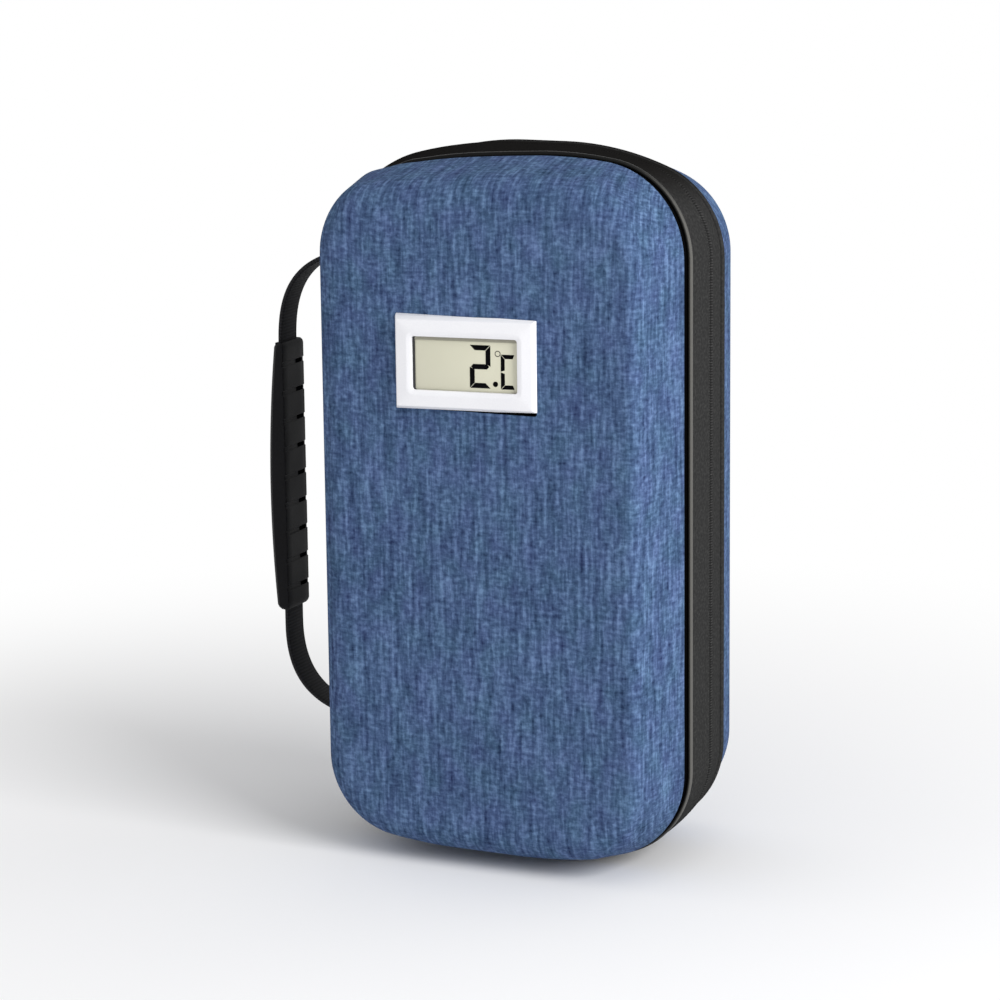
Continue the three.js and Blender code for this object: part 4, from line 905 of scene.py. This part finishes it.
def spine():
    """Woven strip between the two folds, with a row of stitches along each edge."""
    shape = bevelled_box(SPINE_X, SPINE_Y, (-SPINE_HALF, SPINE_HALF), 0.7)
    piece("spine_panel", shape, WEBBING, "spine", ["spine_strip"],
          weave=cloth_of(shape[0], 1, 2))
    end = SPINE_HALF - SPINE_SEAM_END
    rows = SPINE_Y[0] + SPINE_SEAM, SPINE_Y[1] - SPINE_SEAM
    seams = [((SPINE_X[0], y, -end), (SPINE_X[0], y, end)) for y in rows]
    stitches("spine_stitches", seams, (-1, 0, 0), "spine")


def hinge_tape(name, parent, child, axis_y, line):
    """Tape across a fold of the spine, through (y, x) points of its outer face."""
    heights = np.linspace(HINGE_END - SPINE_HALF, SPINE_HALF - HINGE_END, HINGE_ROWS)
    fine = np.linspace(line[0][0], line[-1][0], HINGE_STEPS)
    face = np.interp(fine, *zip(*sorted(line)))
    strip = np.vstack((np.column_stack((face, fine)), np.column_stack((face + HINGE_THICK, fine))[::-1]))
    shape = stack([at_height(strip, z) for z in heights])
    tape = piece(name, shape, WEBBING, None, weave=cloth_of(shape[0], 1, 2))
    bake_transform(tape)


def patch(end, low):
    """Sewn patch, with a row of stitches round it and a cross."""
    shape = bevelled_box(PATCH_X, PATCH_Y, (low, low + PATCH_TALL), 0.5)
    piece(f"patch_{end}", shape, WEBBING, "spine", [f"strap_patch_{end}"],
          weave=cloth_of(shape[0], 2, 1))
    x, left, right = PATCH_X[0], PATCH_Y[0] + PATCH_SEAM, PATCH_Y[1] - PATCH_SEAM
    base, top = low + PATCH_SEAM, low + PATCH_TALL - PATCH_SEAM
    a, b, c, d = (x, left, base), (x, right, base), (x, right, top), (x, left, top)
    lines = (a, b), (b, c), (c, d), (d, a), (a, c), (b, d)
    stitches(f"patch_stitches_{end}", lines, (-1, 0, 0), "spine", 1.6, 0.7, 0.24)


spine()
for settings in HINGE_TAPES:
    hinge_tape(*settings)
for end, low in PATCH_LOW.items():
    patch(end, low)


# Panel thermometer: Y runs inwards from the front of the case

FLANGE_FRONT, FLANGE_BACK, FLANGE_LIP = -2.9, -0.3, 0.4
PANEL_BACK, HOUSING_END = -1.7, 12.6
BEZEL = np.array((23.8, 14.6))
WINDOW = np.array((17.6, 8.4))
CAVITY = np.array((21.8, 12.1))
RIDGE = 1.6
DISPLAY_YAW, DISPLAY_ROLL, DISPLAY_SHIFT = math.radians(2.5), math.radians(1.0), 0.45
GLASS_WIDTH, GLASS_HEIGHT, GLASS = 36.6, 19.8, (-1.4, 0.6)
# Sizes and shifts of the painted shade in the window and the painted shadow round the flange, and the band of
# the LCD's painted top shadow
SHADE_RING_WIDE, SHADE_RING_ROUND = 0.4, 0.8
WINDOW_SHADE_SHIFT, FLANGE_SHADOW_SHIFT = (0.75, 0, -0.1), (0, 0, -0.35)
LCD_SHADOW_LOW, LCD_SHADOW_HIGH = WINDOW[1] - 1.15, WINDOW[1] + 0.3

# Reading on the display, in millimetres from the window's lower right corner
TWO = {"left": -16.2, "right": -9.3, "low": 1.2, "high": 14.6, "stroke": 1.6}
LETTER = {"left": -5.9, "right": -1.3, "low": 1.1, "high": 11.9, "stroke": 1.3}
POINT_AT, POINT_RADIUS = (-7.7, 2.6), 0.85
DEGREE_AT, DEGREE_OUTER, DEGREE_INNER = (-6.9, 12.1), 0.95, 0.74
SLIT = 0.12
BAR_INSET = 0.3
INK_THICK, INK_GAP = 0.05, 0.01
INK_Y = GLASS[0] - INK_THICK, GLASS[0] - INK_GAP


def in_display(points):
    """Points of the thermometer in the case. Its front sits a little askew on the cloth."""
    x, y, z = np.asarray(points, float).T
    share = np.clip((FLANGE_BACK - y) / FLANGE_LIP, 0, 1)
    askew = x + share * DISPLAY_SHIFT, y + share * math.tan(DISPLAY_YAW) * x, z + share * DISPLAY_ROLL * x
    return np.column_stack(askew) + (DISPLAY_X, FRONT_FACE, DISPLAY_Z)


def display_piece(name, shape, finish, stands_for=(), sharp=35):
    piece(name, (in_display(shape[0]), shape[1]), finish, "lid", stands_for, sharp)


def rect_ring(half, grow, radius, y):
    return at_depth(rounded_section(half[0] + grow, half[1] + grow, radius, 5), y)


def bezel():
    """White housing: bevelled flange with a faint ridge round the window, and the box behind it."""
    front, face = FLANGE_FRONT, BEZEL - (1.0, 0.9)
    rings = (
        (WINDOW, 0, 0.9, PANEL_BACK),
        (WINDOW, 0, 0.9, front + 0.25),
        (WINDOW, 0.08, 0.95, front + 0.08),
        (WINDOW, 0.25, 1.1, front),
        (WINDOW, RIDGE - 0.3, 2.0, front),
        (WINDOW, RIDGE, 2.2, front - 0.07),
        (WINDOW, RIDGE + 0.3, 2.4, front),
        (face, -0.5, 0.25, front),
        (face, -0.2, 0.28, front + 0.06),
        (face, 0, 0.3, front + 0.25),
        (BEZEL, -0.2, 0.3, -1.05),
        (BEZEL, 0, 0.3, -0.75),
        (BEZEL, 0, 0.3, FLANGE_BACK),
        (HOUSING, 0, 0.7, FLANGE_BACK),
        (HOUSING, 0, 0.7, HOUSING_END),
        (CAVITY, 0, 0.5, HOUSING_END),
        (CAVITY, 0, 0.5, PANEL_BACK),
    )
    shape = stack([rect_ring(*ring) for ring in rings], closed=True)
    display_piece("display_bezel", shape, PLASTIC, ["display_housing"], 30)


def bar(start, stop, mitre_start, mitre_stop, side, stroke):
    """A display segment from start to stop, its ends cut aslant towards one side."""
    start, stop = np.array(start, float), np.array(stop, float)
    along = (stop - start) / np.linalg.norm(stop - start)
    across = np.array((-along[1], along[0])) * side * stroke
    return [start + along * SLIT, stop - along * SLIT,
            stop + across - along * (SLIT + mitre_stop * stroke),
            start + across + along * (SLIT + mitre_start * stroke)]


def middle_bar(left, right, z, stroke):
    half = stroke / 2
    left, right = left + SLIT, right - SLIT
    return [(left, z), (left + half, z - half), (right - half, z - half),
            (right, z), (right - half, z + half), (left + half, z + half)]


def two(left, right, low, high, stroke):
    middle = (low + high) / 2
    return [
        bar((left, high), (right, high), 1, 1, -1, stroke),
        bar((right, high), (right, middle), 1, 0.5, -1, stroke),
        middle_bar(left + BAR_INSET, right - BAR_INSET, middle, stroke),
        bar((left, middle), (left, low), 0.5, 1, 1, stroke),
        bar((left, low), (right, low), 1, 1, 1, stroke),
    ]


def letter_c(left, right, low, high, stroke):
    middle = (low + high) / 2
    return [
        bar((left, high), (right, high), 1, 0.4, -1, stroke),
        bar((left, high), (left, middle), 1, 0.3, 1, stroke),
        bar((left, middle), (left, low), 0.3, 1, 1, stroke),
        bar((left, low), (right, low), 1, 0.4, 1, stroke),
    ]


def reading():
    """The segments of a two, a point, a degree ring and a C."""
    corner = WINDOW * (1, -1)
    flats = [*two(**TWO), disc(*POINT_AT, POINT_RADIUS), *letter_c(**LETTER)]
    parts = [stack([at_depth(np.array(flat) + corner, y) for y in INK_Y]) for flat in flats]
    outer, inner = (disc(*corner + DEGREE_AT, radius) for radius in (DEGREE_OUTER, DEGREE_INNER))
    front, back = INK_Y
    rings = [at_depth(outer, front), at_depth(inner, front), at_depth(inner, back), at_depth(outer, back)]
    parts.append(stack(rings, closed=True))
    display_piece("lcd_reading", joined(parts), INK)


def display_shades():
    """Painted shade and shadows of the display: a dark gasket between glass and window, shifted so it shows
    on the left as painted shade in the recess; a grey strip along the top of the LCD as a painted shadow
    under the window's edge; and a near-black ring under the flange, shifted down, as a painted shadow round
    the bezel.
    """
    ends = PANEL_BACK, GLASS[0] - INK_GAP
    outer = [rect_ring(WINDOW, SHADE_RING_WIDE, SHADE_RING_ROUND, y) for y in ends]
    inner = [rect_ring(WINDOW, 0, SHADE_RING_ROUND, y) + WINDOW_SHADE_SHIFT for y in ends]
    shape = stack([outer[0], inner[0], inner[1], outer[1]], closed=True)
    # Painted shade: the dark gasket shows only on the left of the window
    display_piece("window_shade_gasket", shape, DARK)
    depth = PANEL_BACK + 0.02, GLASS[0] - 0.02
    lcd_shadow = bevelled_box((-WINDOW[0], WINDOW[0]), depth, (LCD_SHADOW_LOW, LCD_SHADOW_HIGH), 0.05, 1)
    # Painted shadow: a grey strip along the top of the LCD
    display_piece("lcd_top_shadow", lcd_shadow, SHADE)
    rows = (-1.2, FLANGE_BACK), (0.05, FLANGE_BACK), (0.1, 0.3), (-1.2, 0.3)
    rings = [rect_ring(BEZEL, grow, SHADE_RING_ROUND, y) + FLANGE_SHADOW_SHIFT for grow, y in rows]
    # Painted shadow: a near-black ring showing below the flange
    display_piece("flange_painted_shadow", stack(rings, closed=True), PAINTED_SHADE)


bezel()
glass = bevelled_box(around(0, GLASS_WIDTH), GLASS, around(0, GLASS_HEIGHT), 0.12, 2)
display_piece("lcd_panel", glass, LCD, ["lcd_glass"])
reading()
display_shades()


# Zip slider and its pull

PARK = math.radians(-12)
SLIDER_AT = np.array((-29, 0, -80.39))
OUTER_PLATE, INNER_PLATE = (-33.1, -31.7), (-28.0, -26.6)
PLATE_HALF, PLATE_ROUND, PLATE_EDGE = np.array((4.3, 4)), 1.6, 0.4
DIVIDER_POST = (-31.9, -27.8), (-0.2, 0.2), (-1.5, 1.5)
BAIL_SIDE = [(-32.6, 1.75), (-34.4, 1.75), (-35.1, 1.5), (-35.5, 0.9)]
BAIL_TOP = (-35.55, 0)
PIN_AT, PIN_RADIUS, PIN_HALF = np.array((-62.355, SEAM, -87.48)), 0.55, 2.5
PULL_HALF_Y, PULL_FROM, PULL_TO = 3.2, -3.4, -13.0
PULL_SLOT_Y, PULL_SLOT_Z, PULL_SLOT_ROUND, PULL_SLOT_DROP = 1.5, 2.6, 1.4, 0.6
PULL_ARM = 1.4, 2.6


def in_slider(points):
    """Slider coordinates, with X towards the inside of the case, turned to where the slider is parked."""
    x, y, z = np.asarray(points, float).T
    c, s = math.cos(PARK), math.sin(PARK)
    return np.column_stack((x * c + z * s, y + SEAM, z * c - x * s)) + SLIDER_AT


def plate(low, high):
    """Plate of the slider between two X values, with rounded corners and edges."""
    edge, soft = PLATE_EDGE, PLATE_EDGE * 0.3
    rows = ((edge, low), (soft, low + soft), (0, low + edge),
            (0, high - edge), (soft, high - soft), (edge, high))
    return stack([at_side(rounded_section(*PLATE_HALF - inset, PLATE_ROUND - inset / 2, 6), x)
                  for inset, x in rows])


def slider():
    """Two plates on a post, with an arch that carries the pull."""
    arch = np.array([*((x, -z) for x, z in BAIL_SIDE), BAIL_TOP, *BAIL_SIDE[::-1]])
    bail = stack(swept_line(arch, rounded_section(1.0, 0.42, 0.3, 3)))
    post = bevelled_box(*DIVIDER_POST, 0.1, 2)
    points, faces = joined([plate(*OUTER_PLATE), plate(*INNER_PLATE), post, bail])
    piece("slider_body", (in_slider(points), faces), METAL, "slider", ["zip_slider"])


def pull():
    """Pull tab with a rounded slot, hung on a pin by two arms."""
    middle, half_z = (PULL_FROM + PULL_TO) / 2, (PULL_FROM - PULL_TO) / 2
    rings = []
    for inset, radius, x in ((0.25, 2.0, -0.6), (0, 2.2, -0.35), (0, 2.2, 0.35), (0.25, 2.0, 0.6)):
        flat = rounded_section(PULL_HALF_Y - inset, half_z - inset, radius, 6)
        rings.append(at_side(flat + (0, middle), x))
    for grow, x in ((0.2, 0.6), (0, 0.4), (0, -0.4), (0.2, -0.6)):
        flat = rounded_section(PULL_SLOT_Y + grow, PULL_SLOT_Z + grow, PULL_SLOT_ROUND + grow, 6)
        rings.append(at_side(flat + (0, middle - PULL_SLOT_DROP), x))
    near, far = PULL_ARM
    arms = [bevelled_box((-0.6, 0.6), y, (PULL_FROM - 1.2, 0.55), 0.3) for y in ((-far, -near), (near, far))]
    pin = stack([at_depth(disc(0, 0, PIN_RADIUS, 14), y) for y in (-PIN_HALF, PIN_HALF)])
    points, faces = joined([stack(rings, closed=True), *arms, pin])
    piece("pull_tab", (points + PIN_AT, faces), METAL, "pull", ["zip_pull"])


slider()
pull()


# Inside: cooling packs, the panels that hold them, and elastic loops for pens

WELD, WELD_RISE, PACK_CORNER, PACK_SLOPE = 4.0, 0.3, 14, 24
PACK_INSETS = (0, 1.3, 2.7, WELD, 4.5, 5.3, 6.5, 8.5, 11, 14.5, 19, WELD + PACK_SLOPE)
PACK_MIDDLE, NO_EDGE = (0.7, 0.4, 0.12), 99
PUCKER, PUCKER_AT, EDGE_WAVE, WAVE_REACH = 0.5, 6, 0.25, 3.0
PANEL_END, PANEL_SKIN = 30, 0.1
PANEL_END_ROWS, PANEL_ROWS, PANEL_COLUMNS = 16, 22, 33
HEM_TALL, HEM_OVER, HEM_FRONT, HEM_BACK = 6, 0.6, 0.4, 0.5
BINDING_WIDE, BINDING_OVER = 3.2, 0.25
LOOPS, LOOP_STEPS, LOOP_RISE, ELASTIC_THICK = 7, 14, 2.2, 0.9


def in_case(node):
    """Lowest and highest corners of a CAD node, in millimetres about the middle of the case."""
    return [(np.array(corner) - ORIGIN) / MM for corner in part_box(node)]


def long_ring(half_x, half_z, radius, corner_steps=7, side_steps=18):
    """Rounded rectangle with points along its sides too."""
    corners = rounded_section(half_x, half_z, radius, corner_steps).reshape(4, -1, 2)
    share = np.linspace(0, 1, side_steps + 1)[1:-1, None]
    parts = []
    for here, following in zip(corners, np.roll(corners, -1, axis=0)):
        parts += [here, here[-1] + (following[0] - here[-1]) * share]
    return np.vstack(parts)


def gel_pack(name, node, body):
    """Film pouch full of gel: a flat weld all round, puckers beside it and a crowned middle."""
    low, high = in_case(node)
    middle, half = (low + high) / 2, (high - low) / 2
    sheets = []
    for inset in PACK_INSETS:
        ring = long_ring(half[0] - inset, half[2] - inset, max(PACK_CORNER - inset * 0.6, 3))
        share = min(max((inset - WELD) / PACK_SLOPE, 0), 1)
        rise = WELD_RISE + (half[1] - WELD_RISE) * math.sqrt(1 - (1 - share) ** 2)
        sheets.append((ring, rise, inset))
    last, rise, _ = sheets[-1]
    sheets += [(last * share, rise, NO_EDGE) for share in PACK_MIDDLE]
    at = np.arange(len(last)) / len(last) * 2 * math.pi
    ripple = 0.6 * np.sin(31 * at) + 0.4 * np.sin(47 * at + 1.3) + 0.3 * np.sin(13 * at + 0.4)
    top, bottom = [], []
    for ring, rise, inset in sheets:
        pucker = PUCKER * math.exp(-((inset - PUCKER_AT) / WAVE_REACH) ** 2) * min(rise / 2, 1)
        wave = EDGE_WAVE * math.exp(-(inset / WAVE_REACH) ** 2) * ripple
        swell = rise + pucker * (ripple - 1.0) * 0.5
        top.append(at_depth(ring, wave - swell))
        bottom.append(at_depth(ring, wave + swell))
    points, faces = stack(top[::-1] + bottom)
    pack = piece(name, (points + middle, faces), GEL, body, [node], sharp=60)


def panel(name, node, rim, finish, body, belly):
    """A cloth panel cut to the outline of the case, a little full in the middle."""
    low, high = in_case(node)
    edge = outline((high[0] - low[0]) / 2 - CASE_WIDTH / 2, rim)[0]
    side = edge[edge[:, 0] > 0]
    side = side[np.argsort(side[:, 1])]
    foot, head = low[2] + PANEL_END, high[2] - PANEL_END
    levels = np.concatenate((
        np.linspace(low[2], foot, PANEL_END_ROWS)[:-1],
        np.linspace(foot, head, PANEL_ROWS)[:-1],
        np.linspace(head, high[2], PANEL_END_ROWS),
    ))
    reach = np.interp(levels, side[:, 1], side[:, 0])
    share = np.linspace(-1, 1, PANEL_COLUMNS)
    rows, columns = len(levels), len(share)
    count = rows * columns
    flat = np.column_stack((np.outer(reach, share).ravel(), np.repeat(levels, columns)))
    up = np.clip(1 - ((levels - levels.mean()) / (np.ptp(levels) / 2)) ** 2, 0, 1)
    full = belly * np.sqrt(np.outer(up, 1 - share ** 2).ravel())
    front, back = at_depth(flat, low[1] + full + PANEL_SKIN), at_depth(flat, high[1] + full - PANEL_SKIN)
    sheet = grid(rows, columns, wrap_columns=False)
    index = np.arange(count).reshape(rows, columns)
    border = np.concatenate((index[0], index[1:, -1], index[-1, -2::-1], index[-2:0:-1, 0])).tolist()
    rim_faces = [(a, b, b + count, a + count) for a, b in zip(border, border[1:] + border[:1])]
    faces = sheet + [tuple(count + i for i in face) for face in sheet] + rim_faces
    cloth = np.vstack((at_height(flat, 0), at_height(flat, 1)))
    made = piece(name, (np.vstack((front, back)), faces), finish, body, [node], weave=cloth)
    size = (high - low) * MM
    area = float(np.sum((reach[1:] + reach[:-1]) * np.diff(levels))) * MM * MM
    return made, (size[0], size[2]), area


def pocket_hem():
    """Elastic hem along the top of the pocket."""
    low, high = in_case("pocket_panel")
    half = (high[0] - low[0]) / 2
    shape = bevelled_box((-half, half), (low[1] - HEM_FRONT, high[1] + HEM_BACK),
                         (high[2] - HEM_TALL, high[2] + HEM_OVER), 0.7)
    return piece("pocket_hem", shape, ELASTIC, "lid", weave=cloth_of(shape[0], 2, 0))


def divider_binding():
    """Bound edge round the divider."""
    low, high = in_case("divider_panel")
    rim = (high[0] - low[0]) / 2 - CASE_WIDTH / 2
    line = bead_section((low[1] - BINDING_OVER, high[1] + BINDING_OVER), rim - BINDING_WIDE, rim, 0.8)
    piece("divider_binding", swept_ring(line), DARK_CLOTH, "rear")


def pen_loops(name, node):
    """Elastic band sewn down between loops that each hold a pen."""
    low, high = in_case(node)
    at = np.linspace(low[0], high[0], LOOPS * LOOP_STEPS + 1)
    phase = (at - low[0]) / (high[0] - low[0]) * LOOPS
    depth = high[1] - ELASTIC_THICK / 2 - LOOP_RISE * np.sin(np.pi * (phase % 1)) ** 0.8
    ring = rounded_section(ELASTIC_THICK / 2, (high[2] - low[2]) / 2, 0.3, 3)
    shape = stack([at_side(ring + (y, (low[2] + high[2]) / 2), x) for x, y in zip(at, depth)])
    piece(name, shape, ELASTIC, "rear", [node], weave=cloth_of(shape[0], 2, 0))
    y = high[1] - ELASTIC_THICK - 0.05
    seams = [((x, y, low[2] + 1), (x, y, high[2] - 1)) for x in np.linspace(low[0], high[0], LOOPS + 1)[1:-1]]
    stitches(f"{name}_stitches", seams, (0, -1, 0), "rear", 2.0, 0.8, 0.25)


gel_pack("cooling_pack_rear", "gel_pack_rear", "rear")
gel_pack("cooling_pack_front", "gel_pack_front", "lid")
DIVIDER, divider_size, divider_area = panel("divider_cloth", "divider_panel", BAND_HALF, CLOTH, "rear", 0)
POCKET, pocket_size, pocket_area = panel("pocket_cloth", "pocket_panel", -BAND_HALF, CLOTH, "lid", 0.8)
HEM = pocket_hem()
divider_binding()
pen_loops("pen_loops_upper", "pen_elastic_upper")
pen_loops("pen_loops_lower", "pen_elastic_lower")


# CAD nodes that keep their shape

KEPT = {
    "pale_film": (FILM, ["lcd_reflector"]),
    "grey_rubber": (RUBBER, ["zebra_connector"]),
    "board_green": (BOARD, ["circuit_board"]),
    "bright_steel": (STEEL, ["board_screw_left", "board_screw_right", "button_cell_left", "button_cell_right",
                             "battery_contact_board", "battery_contact_spring"]),
    "white_plastic": (PLASTIC, ["battery_holder", "display_rear_cover", "battery_door"]),
    "dark_bead": (DARK, ["temperature_sensor", "probe_inlet_grommet"]),
    "black_metal": (METAL, ["zip_stop_upper", "zip_stop_lower"]),
}
for slot, (finish, names) in KEPT.items():
    for name in names:
        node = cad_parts[name]
        node.data.materials.clear()
        node.data.materials.append(finish)


# Stage: floor, light and camera, with lengths in metres

WHITE = (1, 1, 1, 1)
FLOOR_REACH, FLOOR_DROP = 20.0, 0.0005
SHADOW_FROM, SHADOW_TO = 0.12, 0.42
SKY_LIGHT = 0.65
KEY_SIDE, KEY_DISTANCE, KEY_SIZE, KEY_LIGHT = (0.86, -0.34, 0.46), 1.6, 0.9, 0.83 * math.pi


def stage():
    """Pale floor, which goes over into plain white away from the case."""
    mesh = bpy.data.meshes.new("floor")
    corners = np.array(((-1, -1), (1, -1), (1, 1), (-1, 1))) * FLOOR_REACH
    mesh.from_pydata(at_height(corners, -FLOOR_DROP).tolist(), [], [(0, 1, 2, 3)])
    floor = added("floor", mesh)
    made = Finish("pale_floor", Roughness=1.0, Specular_IOR_Level=0)
    made.colour(made.ramp(made.noise(made.place(), 3), (0.3, (246, 246, 247)), (0.7, (250, 250, 251))))
    glow = made.node("ShaderNodeEmission", {"Color": WHITE, "Strength": 1})
    away = made.node("ShaderNodeVectorMath", {0: made.place((1, 1, 0))}, operation="LENGTH").outputs["Value"]
    far = made.remap(away, SHADOW_FROM, SHADOW_TO, kind="SMOOTHSTEP")
    made.surface("Material Output", made.math("MULTIPLY", far, made.seen()), made.shader, glow)
    mesh.materials.append(made.material)


def sky():
    """Even light from all round, which itself looks plain white."""
    world = bpy.data.worlds.new("studio")
    bpy.context.scene.world = world
    world.use_nodes = True
    made = Nodes(world.node_tree)
    light = made.tree.nodes["Background"]
    light.inputs["Color"].default_value = WHITE
    light.inputs["Strength"].default_value = SKY_LIGHT
    white = made.node("ShaderNodeBackground", {"Color": WHITE, "Strength": 1})
    made.surface("World Output", made.seen(), light, white)


def key_light():
    """Square lamp. At a light of pi, a white surface that faces it renders as white."""
    data = bpy.data.lights.new("key", "AREA")
    data.shape = "SQUARE"
    data.size = KEY_SIZE
    data.energy = KEY_LIGHT * math.pi * KEY_DISTANCE ** 2
    lamp = added("key", data)
    towards = Vector(KEY_SIDE).normalized()
    lamp.location = Vector(ORIGIN) + towards * KEY_DISTANCE
    lamp.rotation_mode = "QUATERNION"
    lamp.rotation_quaternion = towards.to_track_quat("Z", "Y")


# Camera as in the photograph, in millimetres: it looks at the case from the right and a little above
CAMERA_AZIMUTH, CAMERA_ELEVATION = math.radians(25.03), math.radians(12.138)
CAMERA_ROLL = math.radians(-0.661)
CAMERA_DISTANCE, CAMERA_RIGHT, CAMERA_UP = 1125.967, -9.695, -0.531
CAMERA_LENS, CAMERA_SENSOR = 126.366, 36


def camera():
    azimuth, elevation = CAMERA_AZIMUTH, CAMERA_ELEVATION
    right = Vector((math.cos(azimuth), math.sin(azimuth), 0))
    back = Vector((math.sin(azimuth) * math.cos(elevation), -math.cos(azimuth) * math.cos(elevation),
                   math.sin(elevation)))
    up = back.cross(right)
    data = bpy.data.cameras.new("camera")
    data.lens = CAMERA_LENS
    data.sensor_width = CAMERA_SENSOR
    data.clip_start = 0.01
    data.clip_end = 100
    made = added("camera", data)
    c, s = math.cos(CAMERA_ROLL), math.sin(CAMERA_ROLL)
    place = Vector(ORIGIN) + (right * CAMERA_RIGHT + up * CAMERA_UP + back * CAMERA_DISTANCE) * MM
    axes = Matrix((c * right + s * up, c * up - s * right, back)).transposed()
    made.matrix_world = Matrix.Translation(place) @ axes.to_4x4()
    bpy.context.scene.camera = made


stage()
sky()
key_light()
camera()
bpy.context.scene.view_settings.view_transform = "Standard"
